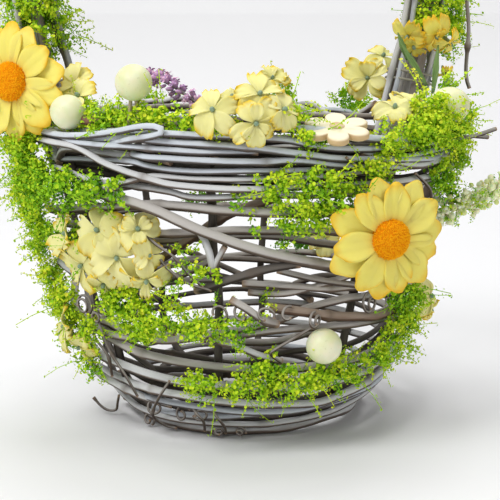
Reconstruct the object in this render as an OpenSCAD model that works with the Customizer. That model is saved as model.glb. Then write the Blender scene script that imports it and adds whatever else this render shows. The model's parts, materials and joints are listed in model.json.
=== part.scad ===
// Round Easter basket of limed vines: an open-woven bowl on a foot ring,
// a wide wrapped rim, a fixed arch handle, and trimmings of moss and flowers.
// Millimetres. The origin is on the basket's axis at the floor, +Z is up and the
// front is towards -Y. Headings are degrees round the axis from +X.

/* [Bowl] */
// Radius at which the floor spokes turn up into the wall
floor_r = 47.7; // [40:0.1:70]
// Radius of the turn between the floor and the wall
turn_r = 24; // [18:0.5:34]
// Outward lean of the wall, in degrees
wall_lean = 13.5; // [6:0.5:18]
// Height of the topmost outer rim hoop
rim_z = 139; // [110:1:190]
// Number of stakes in the wall
stakes = 8; // [8:1:8]

/* [Vines] */
// Radius of a stake
stake_r = 2.2; // [1.6:0.1:3]
// Radius of the vines of the wall
vine_r = 2.1; // [1.8:0.1:3]
// Radius of the vines of the rim
rim_vine_r = 2.2; // [1.8:0.1:3.2]
// Radius of the ring that the basket stands on
foot_vine_r = 3.6; // [3:0.1:5]
// Clearance between vines that cross or lie side by side
vine_gap = 0.6; // [0.3:0.1:1.5]

/* [Rim] */
// Number of hoops on the outer side of the rim
rim_outer_hoops = 4; // [4:1:4]
// How much higher the rim is on the left than in the middle
rim_rise = 2; // [0:0.5:4]

/* [Handle] */
// Height of the top of the main handle rod over the topmost rim hoop
handle_rise = 171; // [120:1:240]
// Turn of the handle about the basket's axis, in degrees
handle_yaw = 15; // [0:1:20]
// Radius of the main handle rod
rod_r = 4; // [3:0.1:5]
// Radius of the thinner rods round the main rod
side_rod_r = 3; // [2:0.1:3.5]
// How far the handle legs reach down below the rim
leg_reach = 42; // [20:1:60]
// Clearance between the handle legs and the inner rim hoops
leg_gap = 0.6; // [0.3:0.1:3]

/* [Moss] */
// Thickness of a moss pad
moss_t = 7; // [4:0.5:9]
// Clearance between moss and what it lies on
moss_gap = 1; // [0.3:0.1:3]

/* [Flowers] */
// Radius of a daisy over its petals
daisy_r = 27; // [24:0.5:36]
// Radius of a daisy's fuzzy centre
daisy_centre_r = 8.3; // [7:0.1:11]
// Petals in each of a daisy's two rows
petals_per_row = 7; // [5:1:9]
// Radius of a silk blossom
blossom_r = 10; // [7:0.5:12]
// Thickness of petals
petal_t = 1.2; // [0.8:0.1:2]
// Radius of the wooden flower
wood_flower_r = 14.5; // [11:0.5:18]
// Thickness of the wooden flower
wood_flower_t = 3; // [2:0.1:4]

/* [Beads] */
// Radius of a bead
bead_r = 7.8; // [7:0.1:11]
// Radius of the egg in the right-hand moss
egg_r = 9; // [7:0.1:12]
// Radius of a bead's stem
stem_r = 1.3; // [0.8:0.1:2]

/* [Hidden] */
$fn = 48;

// ---- colours ----
limed = "#b9b6b0";
limed_dark = "#8f8880";
bark = "#8a6a50";
moss_green = "#7fc41c";
petal_yellow = "#f2e58c";
pollen_orange = "#f29a1c";
bead_green = "#dfe3b4";

// ---- floor and wall line ----
// The spokes lie clear above the foot ring, and the floor hoops above and below them.
foot_z = foot_vine_r - 0.6;
spoke_z = foot_z + foot_vine_r + vine_gap + stake_r;
spoke_in = 12;
turn_end_r = floor_r + turn_r * cos(wall_lean);
turn_end_z = spoke_z + turn_r * (1 - sin(wall_lean));
foot_r = floor_r + turn_r * 0.43;
stake_top = rim_z - 5;
// The stakes stand midway between the handle's legs.
stake_heading = handle_yaw + 180 / stakes;

// Radius of the stakes' centre line at height z on the wall
function wall_r(z) = turn_end_r + (z - turn_end_z) * tan(wall_lean);
// Distance of a vine of radius r from the stakes' centre line, by its layer:
// -2 and -1 run inside the stakes, 1 and 2 run outside them.
function layer_offset(layer, r) =
    sign(layer) * (stake_r + vine_gap + r + (abs(layer) - 1) * (2 * r + vine_gap)) / cos(wall_lean);
// A knot swells a vine a little, and the lengths that meet in it stop just short of its middle.
knot_swell = 1.07;
knot_inset = 0.5;
// Outermost surface of the wall's first outside layer, measured from the stakes' centre line
weave_out = layer_offset(1, vine_r) + vine_r;

// ---- wall hoops ----
// Heights are shares of the way from the foot to the underside of the rim.
rim_pitch = 2 * rim_vine_r + vine_gap;
rim_low_z = rim_z - (rim_outer_hoops - 2) * rim_pitch - rim_vine_r - vine_gap - vine_r;
weave_low_z = spoke_z + 2 * stake_r + vine_gap + vine_r;
weave_h = rim_low_z - vine_r - weave_low_z;
function weave_z(share) = weave_low_z + share * weave_h;
// Each row: share of the height, rise as a share, heading of the high side, start, span, layer
wall_hoops = [
    [0.06, 0.02,    0, -150, 335,  1],
    [0.15, 0.01,  150,  -60, 340,  1],
    [0.24, 0.03,  170,   40, 345,  1],
    [0.41, 0.08,  -20,  -40, 335,  1],
    [0.47, 0.06, -130,  -82, 112,  2],
    [0.45, 0.05,  120,   80, 340, -1],
    [0.68, 0.04,  -70,  200, 335, -1],
    [0.81, 0.02,  -60,  150, 340,  1],
    [0.90, 0.02, -120,  -20, 340,  1]
];
diagonal_span = 64;
diagonal_proud = 2.5;

// ---- rim hoops ----
rim_high = 180;
rim_top_z = rim_z + rim_vine_r + vine_gap + vine_r - 1;
rim_inner_z = rim_z - 1 - 2 * vine_r - vine_gap;
// Each row: height, radius of the vine, start, span, layer (0 lies over the stakes' ends)
rim_hoops = [
    [rim_z,                 rim_vine_r, -100, 345,  1],
    [rim_z - rim_pitch,     rim_vine_r,   30, 350,  1],
    [rim_z - 2 * rim_pitch, rim_vine_r, -130, 340,  1],
    [rim_low_z,             vine_r,     -105, 335,  1],
    [rim_z - 1,             vine_r,       60, 340, -1],
    [rim_inner_z,           vine_r,      240, 340, -1],
    [rim_top_z,             vine_r,     -108, 250,  0]
];
rim_out = wall_r(rim_z) + layer_offset(1, rim_vine_r) + rim_vine_r;
rim_inner_edge = wall_r(rim_inner_z) + layer_offset(-1, vine_r) - vine_r;

// ---- handle ----
handle_x = -2;
handle_top = rim_z + handle_rise;
// Distance of the main rod from the handle's middle where it passes the lower inner rim hoop
leg_pass = rim_inner_edge - abs(handle_x) - leg_gap - rod_r;
// The arch is as wide as legs that lean like the wall make it at its own height.
arch_r = (cos(wall_lean) * leg_pass + (handle_top - rod_r - rim_inner_z) * sin(wall_lean))
         / (1 + sin(wall_lean));
arch_z = handle_top - rod_r - arch_r;
rod_step = rod_r + side_rod_r + vine_gap;
legs_z = rim_z - leg_reach;
short_legs_z = rim_top_z + vine_r + rim_rise + 6;
// The rods beside the main rod lie a little further out, so they pass the rim as closely.
side_out = (rod_r - side_rod_r) / 2;
// Each row: step outwards, step sideways, radius of the rod, height of its legs' ends
handle_rods = [
    [0,         0,         rod_r,            legs_z],
    [side_out,  -rod_step, side_rod_r,       legs_z + 6],
    [side_out,  rod_step,  side_rod_r,       legs_z + 3],
    [-rod_step, 0,         side_rod_r - 0.4, legs_z + 10],
    [rod_step,  0,         side_rod_r - 0.6, short_legs_z]
];
bundle_r = rod_step + side_rod_r;
wire_r = 0.8;
wire_loop_r = bundle_r + vine_gap + wire_r;

// Distance of a leg's centre line from the handle's middle at height z
function leg_x(z) = arch_r / cos(wall_lean) - (arch_z - z) * tan(wall_lean);

// ---- places of the trimmings ----
moss_over_weave = weave_out + moss_gap;
moss_over_rim = rim_out + moss_gap + rim_rise / 2;
trim_over_rim = moss_over_rim + moss_t + moss_gap;
rim_crest_z = rim_top_z + vine_r + rim_rise;
rim_moss_left_z = rim_low_z - 4;
rim_moss_left_h = 24;

// ---- shared shapes ----

// A vine bent round a circle: bend radius, vine radius, start heading, span
module vine_arc(bend, r, start = 0, span = 360) {
    rotate([0, 0, start])
        rotate_extrude(angle = span, $fn = 96)
            translate([bend, 0]) circle(r = r, $fn = 24);
}

// The same, tilted: one side is higher by `rise`, and the hoop shifts so that it follows
// the leaning wall.
module tilted_hoop(z, bend, r, rise, high, start, span) {
    translate([rise * tan(wall_lean) * cos(high), rise * tan(wall_lean) * sin(high), z])
        rotate([0, 0, high])
            rotate([0, -asin(rise / bend), 0])
                rotate([0, 0, -high]) vine_arc(bend, r, start, span);
}

// Places children at a heading, radius and height, with their +Z towards the heading `face`
// and tipped upwards by `lift`
module facing(heading, radius, z, face, lift = 0) {
    translate([radius * cos(heading), radius * sin(heading), z])
        rotate([0, 0, face]) rotate([0, 90 - lift, 0]) children();
}

// A rounded pad that follows the leaning wall: middle height, height, start, span
module wall_pad(z, height, start, span) {
    rotate([0, 0, start])
        rotate_extrude(angle = span, $fn = 96)
            translate([wall_r(z) + moss_over_weave + moss_t / 2, z])
                rotate([0, 0, -wall_lean]) stadium(moss_t, height);
}

// A pad that stands upright against the rim
module rim_pad(z, height, start, span) {
    rotate([0, 0, start])
        rotate_extrude(angle = span, $fn = 96)
            translate([moss_over_rim + moss_t / 2, z]) stadium(moss_t, height);
}

// Upright flat bar with round ends
module stadium(width, height) {
    straight = height - width;
    square([width, straight], center = true);
    for (side = [-1, 1]) translate([0, side * straight / 2]) circle(d = width, $fn = 24);
}

// ---- foot and floor ----

// The thickest vine is worn flat where it stands on the floor.
module foot_ring() {
    color(limed_dark) intersection() {
        translate([0, 0, foot_z]) vine_arc(foot_r, foot_vine_r);
        translate([0, 0, foot_vine_r]) cylinder(r = foot_r * 1.5, h = 2 * foot_vine_r, center = true);
    }
}

module foot_hoop() {
    color(limed) tilted_hoop(spoke_z - 0.2, foot_r + foot_vine_r + vine_r + 2, vine_r, 1.5, 0, -170, 345);
}

module floor_hoop(radius, side) {
    color(limed_dark)
        translate([0, 0, spoke_z + side * (stake_r + vine_gap + vine_r - 0.4)])
            vine_arc(radius, vine_r - 0.4, 20, 345);
}

// A spoke, its turn and the wall rod in one length of vine, knotted at both ends of the turn
module stake(i) {
    inset = knot_inset / turn_r * 180 / PI;
    color(limed_dark)
        rotate([0, 0, stake_heading + (i - 1) * 360 / stakes]) {
            translate([spoke_in, 0, spoke_z]) rotate([0, 90, 0])
                cylinder(r = stake_r, h = floor_r - spoke_in - knot_inset, $fn = 24);
            translate([floor_r, 0, spoke_z]) sphere(r = stake_r * knot_swell);
            translate([floor_r, 0, spoke_z + turn_r]) rotate([90, 0, 0])
                vine_arc(turn_r, stake_r, inset - 90, 90 - wall_lean - 2 * inset);
            translate([turn_end_r, 0, turn_end_z]) sphere(r = stake_r * knot_swell);
            translate([turn_end_r, 0, turn_end_z]) rotate([0, wall_lean, 0]) translate([0, 0, knot_inset])
                cylinder(r = stake_r, h = (stake_top - turn_end_z) / cos(wall_lean) - knot_inset, $fn = 24);
        }
}

// ---- wall and rim ----

module wall_hoop(row) {
    z = weave_z(row[0]);
    color(row[5] == 2 ? bark : limed)
        tilted_hoop(z, wall_r(z) + layer_offset(row[5], vine_r), vine_r, row[1] * weave_h,
                    row[2], row[3], row[4]);
}

// A vine that climbs across the weave: height and climb from its middle to its ends, as shares
// of the wall's height, its layer as for the hoops, and the heading of its middle
module diagonal_vine(share, climb, layer, middle) {
    z = weave_z(share);
    bend = wall_r(z) + layer_offset(layer, vine_r) + diagonal_proud * sign(layer);
    color(limed)
        tilted_hoop(z, bend, vine_r, climb * weave_h / sin(diagonal_span / 2), middle + 90,
                    middle - diagonal_span / 2, diagonal_span);
}

module rim_hoop(row) {
    z = row[0];
    bend = row[4] == 0 ? wall_r(stake_top) : wall_r(z) + layer_offset(row[4], row[1]);
    color(limed) tilted_hoop(z, bend, row[1], rim_rise, rim_high, row[2], row[3]);
}

// ---- handle ----

module in_handle_plane() {
    translate([handle_x, 0, 0]) rotate([0, 0, handle_yaw]) children();
}

// An arch with two straight legs that lean in as they go down, knotted where they meet
module handle_rod(row) {
    bend = arch_r + row[0];
    end_z = arch_z - bend * sin(wall_lean);
    inset = knot_inset / bend * 180 / PI;
    color(limed_dark) in_handle_plane() translate([0, row[1], 0]) {
        translate([0, 0, arch_z]) rotate([90, 0, 0])
            vine_arc(bend, row[2], inset - wall_lean, 180 + 2 * (wall_lean - inset));
        for (side = [0, 1]) mirror([side, 0, 0]) translate([bend * cos(wall_lean), 0, end_z]) {
            sphere(r = row[2] * knot_swell);
            rotate([0, 180 + wall_lean, 0]) translate([0, 0, knot_inset])
                cylinder(r = row[2], h = (end_z - row[3]) / cos(wall_lean) - knot_inset, $fn = 24);
        }
    }
}

// Places children on a handle leg at height z, with +Z along the leg
module on_leg(side, z) {
    in_handle_plane() mirror([side < 0 ? 1 : 0, 0, 0])
        translate([leg_x(z), 0, z]) rotate([0, wall_lean, 0]) children();
}

// Places children on the arch at an angle up from its middle height, with +Z along it
module on_arch(side, angle) {
    in_handle_plane() mirror([side < 0 ? 1 : 0, 0, 0])
        translate([arch_r * cos(angle), 0, arch_z + arch_r * sin(angle)])
            rotate([0, -angle, 0]) children();
}

wires_z = short_legs_z + 6;
sleeve_low = wires_z + 14;
sleeve_end = 18;

// Loops of wire that bind the rods together
module tie_wires() {
    color("#6f6a66") {
        for (side = [-1, 1]) {
            for (step = [0, 4]) on_leg(side, wires_z + step) vine_arc(wire_loop_r, wire_r);
            on_arch(side, 55) vine_arc(wire_loop_r, wire_r);
        }
        on_arch(1, 90) vine_arc(wire_loop_r, wire_r);
    }
}

// Moss in two sleeves, one round the top of a leg and one round the start of the arch
module handle_moss(side) {
    outer = wire_loop_r + moss_t;
    end_z = arch_z - arch_r * sin(wall_lean);
    color(moss_green) in_handle_plane() mirror([side < 0 ? 1 : 0, 0, 0]) {
        translate([0, 0, arch_z]) rotate([90, 0, 0]) rotate([0, 0, 1 - wall_lean])
            rotate_extrude(angle = wall_lean + sleeve_end, $fn = 96)
                translate([arch_r, 0]) ring(outer, wire_loop_r);
        translate([arch_r * cos(wall_lean), 0, end_z]) rotate([0, 180 + wall_lean, 0])
            linear_extrude((end_z - sleeve_low) / cos(wall_lean)) ring(outer, wire_loop_r);
    }
}

module ring(outer, inner) {
    difference() {
        circle(r = outer);
        circle(r = inner);
    }
}

// ---- tendrils ----
tendril_r = 0.7;
coil_r = 5;
curl_z = weave_z(0.47);

// Dry curled shoots: a knot at the left, coils on the brown vine, stubs at the right
module tendrils() {
    knot_z = rim_moss_left_z - rim_moss_left_h / 2 - 14;
    knot_at = wall_r(knot_z) + weave_out + moss_t + 3;
    coil_at = wall_r(curl_z) + layer_offset(2, vine_r) + 6;
    color(limed_dark) {
        for (i = [0 : 2]) facing(-152, knot_at + 2 * i, knot_z + 3 * i, -152)
            vine_arc(4 + i, tendril_r, 40 * i, 300);
        for (i = [0 : 2]) facing(-66 + 5 * i, coil_at, curl_z - 2 * i, -66)
            vine_arc(coil_r, tendril_r, 60 * i, 300);
        facing(-118, foot_r + 26, spoke_z + 4, -118) vine_arc(7, tendril_r, 180, 150);
        for (i = [0 : 2]) facing(-100 + 5 * i, foot_r + 20, spoke_z + 2, -95)
            vine_arc(coil_r, tendril_r, 90 * i, 260);
        rotate([0, 0, -28]) translate([trim_over_rim + 1, 0, rim_low_z]) rotate([0, 70, 0])
            cylinder(r = 1, h = 12, $fn = 24);
    }
}

// ---- moss ----

module moss_rim_left() {
    color(moss_green) rim_pad(rim_moss_left_z, rim_moss_left_h, -178, 50);
}

module moss_rim_right() {
    color(moss_green) rim_pad(rim_low_z + 3, 30, -42, 52);
}

// Two tufts that lie on top of the rim
module moss_rim_front() {
    color(moss_green)
        for (place = [[-154, 9], [-111, 18]])
            rotate([0, 0, place[0]])
                rotate_extrude(angle = place[1], $fn = 96)
                    translate([wall_r(stake_top), rim_crest_z + moss_gap + moss_t / 2])
                        rotate([0, 0, 90]) stadium(moss_t, moss_t * 1.5);
}

module moss_wall_left() {
    color(moss_green) wall_pad(weave_z(0.5), weave_h * 0.52, -168, 34);
}

module moss_wall_right() {
    color(moss_green)
        rotate([0, 0, -42])
            rotate_extrude(angle = 26, $fn = 96)
                translate([wall_r(weave_z(0.32)) + layer_offset(2, vine_r) + vine_r + moss_gap + moss_t / 2,
                           weave_z(0.32)])
                    rotate([0, 0, -wall_lean]) stadium(moss_t, weave_h * 0.36);
}

// Two bands across the front of the wall
module moss_wall_front() {
    color(moss_green) {
        wall_pad(weave_z(0.45), 14, -120, 34);
        wall_pad(weave_z(0.18), 11, -105, 58);
    }
}

// ---- flowers ----

// One row of rounded petals round a hub, lying flat
module petal_row(radius, width, count, turn) {
    tip = width / 2;
    union() {
        for (i = [0 : count - 1]) rotate([0, 0, turn + i * 360 / count])
            union() {
                translate([radius - tip, 0]) circle(r = tip, $fn = 32);
                polygon([[0, -width / 6], [0, width / 6], [radius - tip, tip], [radius - tip, -tip]]);
            }
        circle(r = radius * 0.3);
    }
}

// Two rows of petals, with a calyx and a wire stem behind
module daisy_petals() {
    color(petal_yellow) {
        linear_extrude(petal_t) petal_row(daisy_r, daisy_r * 0.42, petals_per_row, 0);
        translate([0, 0, petal_t - 0.2]) linear_extrude(petal_t)
            petal_row(daisy_r * 0.95, daisy_r * 0.4, petals_per_row, 180 / petals_per_row);
        translate([0, 0, -4]) cylinder(r = 3.5, h = 4.4, $fn = 24);
        translate([0, 0, -9]) cylinder(r = 1.2, h = 5.4, $fn = 24);
    }
}

daisy_centre_h = 5;

// A low dome that stands on the petals
module daisy_centre() {
    ball = (daisy_centre_r * daisy_centre_r + daisy_centre_h * daisy_centre_h) / (2 * daisy_centre_h);
    color(pollen_orange) translate([0, 0, 2 * petal_t - 0.2])
        intersection() {
            translate([0, 0, daisy_centre_h - ball]) sphere(r = ball);
            cylinder(r = 2 * ball, h = 2 * ball);
        }
}

// The left daisy stands up over the rim, the right one hangs before the wall.
module place_daisy_left() {
    facing(-149.5, trim_over_rim + 2, rim_z + 24, -118, 4) children();
}

module place_daisy_right() {
    facing(-58, trim_over_rim + 1, rim_low_z - 24, -67, -3) children();
}

// One silk blossom of five petals on a short wire
module blossom(radius = blossom_r, stem = 3) {
    color(petal_yellow) {
        linear_extrude(petal_t) {
            for (i = [0 : 4]) rotate([0, 0, 72 * i])
                translate([radius * 0.58, 0]) circle(r = radius * 0.42, $fn = 32);
            circle(r = radius * 0.45);
        }
        translate([0, 0, -stem]) cylinder(r = 1, h = stem + 0.2, $fn = 24);
    }
}

// Each row: heading, share of the wall's height, distance over the weave, lift, length of stem
module blossoms_wall() {
    for (place = [[-131, 0.84, 6, 10, 3], [-117, 0.83, 5, 15, 3], [-124, 0.68, 7, 0, 3],
                  [-136, 0.64, 14, -10, 3], [-113, 0.6, 9, -15, 3], [-151, 0.28, 14, -5, 3],
                  [-13, 0.42, 15, 0, 7]])
        facing(place[0], wall_r(weave_z(place[1])) + weave_out + place[2], weave_z(place[1]), place[0],
               place[3])
            blossom(blossom_r, place[4]);
}

// Each row: heading, height over the rim, lift
module blossoms_rim() {
    for (place = [[-98, 15, 40], [-86, 19, 30], [-91, 6, 15]])
        facing(place[0], rim_out + 5 + moss_gap, rim_z + place[1], place[0], place[2]) blossom();
}

// Three blossoms before the right leg; each row: height, distance outside the wires, turn
module blossoms_handle() {
    for (place = [[-3, 3, 20], [14, 3 + moss_t, 8], [-1, 4, -16]])
        on_leg(1, wires_z + 4 + place[0]) translate([place[2] * 0.5, -wire_loop_r - place[1], 0])
            rotate([90, 0, place[2]]) blossom(8, 2);
}

// ---- beads ----
// The bead on the wall hangs just below the coils of the brown vine.
bead_wall_z = curl_z - coil_r - tendril_r - vine_gap - bead_r;

module place_bead_left() {
    rotate([0, 0, -136]) translate([wall_r(rim_z), 0, rim_z + rim_rise + rim_vine_r + bead_r + 2]) children();
}

module place_bead_tall() {
    rotate([0, 0, -116]) translate([wall_r(rim_z), 0, rim_z + 26]) children();
}

module place_bead_wall() {
    rotate([0, 0, -67])
        translate([wall_r(bead_wall_z) + layer_offset(2, vine_r) + bead_r - 1, 0, bead_wall_z]) children();
}

module bead_left() {
    color(bead_green) place_bead_left() sphere(r = bead_r);
}

module bead_tall() {
    color(bead_green) place_bead_tall() sphere(r = bead_r);
}

module bead_wall() {
    color(bead_green) place_bead_wall() sphere(r = bead_r);
}

module egg_right() {
    color(bead_green) rotate([0, 0, -27]) translate([rim_out - 2, 0, rim_crest_z + egg_r + moss_gap])
        sphere(r = egg_r);
}

// The reddish stem of the left bead and the paired stems of the tall one
module bead_stems() {
    color(bark) place_bead_left() rotate([0, 0, 92]) translate([bead_r + 0.1, 0, -3])
        rotate([0, 97, 0]) cylinder(r = stem_r + 0.6, h = 14, $fn = 24);
    color(bead_green) place_bead_tall() for (side = [-1, 1])
        translate([0, side * (stem_r + 0.2), -bead_r - 12]) cylinder(r = stem_r, h = 12, $fn = 24);
}

// ---- other trimmings ----

// A flat flower sawn from thin wood with a raised button, lying on the rim
module wooden_flower() {
    color("#e8d5ae") rotate([0, 0, -64]) translate([rim_out - 4, 0, rim_crest_z + 0.4]) {
        linear_extrude(wood_flower_t) petal_row(wood_flower_r, wood_flower_r * 0.62, 6, 10);
        cylinder(r = wood_flower_r * 0.34, h = wood_flower_t + 0.6);
    }
}

sprig_len = 30;

// A stem with paired buds, lying across the rim moss and pointing in behind the tall bead
module lavender_sprig() {
    color("#8f6f9c") facing(-98, wall_r(rim_z) - 10.5, rim_crest_z + moss_t + 4, 155, 18) {
        cylinder(r = 0.9, h = sprig_len, $fn = 24);
        for (i = [1 : 5]) for (side = [-1, 1])
            translate([0, side * 2.4, sprig_len * i / 5.2]) sphere(r = 2, $fn = 24);
    }
}

// A stem of cream berries that reaches out to the right from the weave below the rim
module berry_sprig() {
    sprig_z = rim_low_z - 17;
    root = wall_r(sprig_z) + weave_out + moss_gap;
    berries = 7;
    reach = 24;
    color("#efeccd") rotate([0, 0, -20]) translate([root, 0, sprig_z]) rotate([0, 84, 0]) {
        cylinder(r = 0.9, h = reach + 15, $fn = 24);
        for (i = [0 : berries - 1]) for (side = [0 : 2]) rotate([0, 0, 120 * side + 60 * i])
            translate([2.4, 0, 15 + reach * i / berries]) sphere(r = 1.9, $fn = 24);
    }
}

// ---- what is drawn ----
foot_ring();
foot_hoop();
floor_hoop(42, 1);  // floor_hoop_1
floor_hoop(27, -1);  // floor_hoop_2
for (i = [1 : stakes]) stake(i);
for (i = [1 : len(wall_hoops)])
    wall_hoop(wall_hoops[i - 1]);
diagonal_vine(0.78, -0.22, 2, -89);  // diagonal_vine_1
diagonal_vine(0.56, 0.15, -2, -105);  // diagonal_vine_2
for (i = [1 : len(rim_hoops)]) rim_hoop(rim_hoops[i - 1]);
for (i = [1 : len(handle_rods)])
    handle_rod(handle_rods[i - 1]);
tie_wires();
tendrils();
moss_rim_left();
moss_rim_right();
moss_rim_front();
moss_wall_left();
moss_wall_right();
moss_wall_front();
handle_moss(-1);  // moss_handle_left
handle_moss(1);  // moss_handle_right
place_daisy_left() daisy_petals();  // daisy_left_petals
place_daisy_left() daisy_centre();  // daisy_left_centre
place_daisy_right() daisy_petals();  // daisy_right_petals
place_daisy_right() daisy_centre();  // daisy_right_centre
blossoms_wall();
blossoms_rim();
blossoms_handle();
bead_left();
bead_tall();
bead_wall();
egg_right();
bead_stems();
wooden_flower();
lavender_sprig();
berry_sprig();
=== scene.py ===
# %% [markdown]
# # An Easter basket of limed vines
# A round basket is a cage of upright stakes with vines woven round it, a thick wrapped rim and
# an arch handle. This one is trimmed with moss, silk flowers and painted beads. The CAD frame
# gives the place of every part. This lesson grows the natural surface round that frame: Geometry
# Nodes make the vines, moss and fuzz, and short functions make the petals and beads.

# %% Load the frame and the tools
import json
import math
import random
import bpy
import numpy as np
from mathutils import Matrix, Vector, noise

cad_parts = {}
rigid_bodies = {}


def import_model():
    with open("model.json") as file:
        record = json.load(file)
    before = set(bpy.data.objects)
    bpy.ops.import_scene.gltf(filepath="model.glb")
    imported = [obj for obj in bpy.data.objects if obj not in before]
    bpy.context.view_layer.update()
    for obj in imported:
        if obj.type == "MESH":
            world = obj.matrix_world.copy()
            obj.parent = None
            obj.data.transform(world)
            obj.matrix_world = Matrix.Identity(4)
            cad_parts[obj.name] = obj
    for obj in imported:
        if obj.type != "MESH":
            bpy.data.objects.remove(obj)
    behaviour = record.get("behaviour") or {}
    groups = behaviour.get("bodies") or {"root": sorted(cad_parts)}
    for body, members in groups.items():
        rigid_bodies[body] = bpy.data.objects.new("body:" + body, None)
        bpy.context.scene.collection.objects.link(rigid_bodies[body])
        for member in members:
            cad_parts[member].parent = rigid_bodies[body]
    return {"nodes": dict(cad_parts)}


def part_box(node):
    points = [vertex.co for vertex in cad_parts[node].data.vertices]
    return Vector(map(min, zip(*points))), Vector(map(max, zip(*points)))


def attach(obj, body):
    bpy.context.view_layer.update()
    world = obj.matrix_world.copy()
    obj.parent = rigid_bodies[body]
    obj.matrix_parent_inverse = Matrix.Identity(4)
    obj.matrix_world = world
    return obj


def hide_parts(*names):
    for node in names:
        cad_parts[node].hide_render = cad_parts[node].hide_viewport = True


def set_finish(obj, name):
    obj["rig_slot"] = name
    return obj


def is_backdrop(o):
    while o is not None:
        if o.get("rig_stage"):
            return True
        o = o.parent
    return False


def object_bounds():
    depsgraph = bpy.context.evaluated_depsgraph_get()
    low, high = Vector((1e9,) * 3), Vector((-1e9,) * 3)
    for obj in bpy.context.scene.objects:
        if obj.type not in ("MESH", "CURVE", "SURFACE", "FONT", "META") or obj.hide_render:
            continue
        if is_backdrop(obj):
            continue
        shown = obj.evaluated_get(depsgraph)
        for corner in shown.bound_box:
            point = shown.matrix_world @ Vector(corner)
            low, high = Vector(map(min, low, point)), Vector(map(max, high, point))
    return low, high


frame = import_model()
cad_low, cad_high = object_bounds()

MM = 0.001
print("CAD box in mm:", [round(v / MM) for v in (*cad_low, *cad_high)])

# %% [markdown]
# ## The camera
# The basket is seen from just above its rim, a little over two basket widths away. A long lens
# keeps the rim's ellipse shallow. The camera comes first, so that each later step can be looked
# at from the place where it matters.

# %% Set up the camera
CAMERA_DISTANCE = 0.600
CAMERA_HEIGHT = 0.190
CAMERA_ASIDE = 0.0035
LOOK_DOWN = math.radians(10.7)
LENS_MM = 88.1
SENSOR_MM = 36.0

camera_data = bpy.data.cameras.new("camera")
camera_data.lens = LENS_MM
camera_data.sensor_width = SENSOR_MM
camera = bpy.data.objects.new("camera", camera_data)
camera.location = (CAMERA_ASIDE, -CAMERA_DISTANCE, CAMERA_HEIGHT)
camera.rotation_euler = (math.pi / 2 - LOOK_DOWN, 0, 0)
bpy.context.scene.collection.objects.link(camera)
bpy.context.scene.camera = camera
print("camera in mm:", round(CAMERA_DISTANCE / MM), "away,", round(CAMERA_HEIGHT / MM), "up")

# %% [markdown]
# ## Shader maths in Python
# A material is a network of small nodes. Writing the network as arithmetic is easier to read: the
# class below wraps one output socket, and `mask * 2 - 1` adds the Math nodes. `Finish` holds one
# material and has one method, `add`, for every other kind of node.

# %% A socket that can be calculated with
class Value:
    def __init__(self, finish, socket):
        self.finish = finish
        self.socket = socket

    def maths(self, operation, first, second=0.0):
        return self.finish.add("ShaderNodeMath", {"operation": operation}, {0: first, 1: second})

    def __add__(self, other):
        return self.maths("ADD", self, other)

    def __sub__(self, other):
        return self.maths("SUBTRACT", self, other)

    def __rsub__(self, other):
        return self.maths("SUBTRACT", other, self)

    def __mul__(self, other):
        return self.maths("MULTIPLY", self, other)

    def __pow__(self, other):
        return self.maths("POWER", self, other)

    def between(self, low, high):
        """0 below low, 1 above high, smooth between."""
        settings = {"interpolation_type": "SMOOTHSTEP"}
        return self.finish.add("ShaderNodeMapRange", settings,
                               {"Value": self, "From Min": low, "From Max": high})

    __radd__ = __add__
    __rmul__ = __mul__


# %% A material that is written as a few lines
class Finish:
    def __init__(self, name):
        self.material = bpy.data.materials.new(name)
        self.material.use_nodes = True
        self.tree = self.material.node_tree
        self.shader = self.tree.nodes["Principled BSDF"]

    def add(self, kind, settings, inputs, out=0):
        """Adds a node, sets it, feeds its inputs and returns one of its outputs."""
        node = self.tree.nodes.new(kind)
        for key, setting in settings.items():
            if key == "stops":
                self.set_stops(node.color_ramp, setting)
            else:
                setattr(node, key, setting)
        for key, value in inputs.items():
            self.feed(node.inputs[key], value)
        return Value(self, node.outputs[out])

    def feed(self, socket, value):
        if isinstance(value, Value):
            self.tree.links.new(value.socket, socket)
        else:
            socket.default_value = value

    def set_stops(self, ramp, stops):
        while len(ramp.elements) < len(stops):
            ramp.elements.new(1.0)
        for element, (place, colour) in zip(ramp.elements, stops):
            element.position = place
            element.color = (*colour, 1)

    def mix(self, amount, first, second):
        """A colour mixed from two colours."""
        colours = [c if isinstance(c, Value) else (*c, 1) for c in (first, second)]
        return self.add("ShaderNodeMix", {"data_type": "RGBA"},
                        {0: amount, 6: colours[0], 7: colours[1]}, out=2)

    def shade(self, amount, colour, tint):
        """A colour multiplied by a tint, by the amount."""
        return self.add("ShaderNodeMix", {"data_type": "RGBA", "blend_type": "MULTIPLY"},
                        {0: amount, 6: colour if isinstance(colour, Value) else (*colour, 1),
                         7: tint if isinstance(tint, Value) else (*tint, 1)}, out=2)

    def ramp(self, value, stops):
        return self.add("ShaderNodeValToRGB", {"stops": stops}, {"Fac": value})

    def attribute(self, name, out="Fac"):
        return self.add("ShaderNodeAttribute", {"attribute_name": name}, {}, out=out)

    def place(self):
        """Object coordinates, in metres."""
        return self.add("ShaderNodeTexCoord", {}, {}, out="Object")

    def scaled(self, vector, scale):
        return self.add("ShaderNodeVectorMath", {"operation": "MULTIPLY"}, {0: vector, 1: scale})

    def noise(self, vector, scale, detail=3.0, roughness=0.55):
        return self.add("ShaderNodeTexNoise", {},
                        {"Vector": vector, "Scale": scale, "Detail": detail, "Roughness": roughness})

    def bump(self, height, strength, distance=0.0005):
        return self.add("ShaderNodeBump", {},
                        {"Height": height, "Strength": strength, "Distance": distance})

    def surface(self, **inputs):
        """Feeds the shader: words joined by _ name its sockets."""
        for key, value in inputs.items():
            name = key.replace("_", " ")
            self.feed(self.shader.inputs[name], value)
        return self.material


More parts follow.
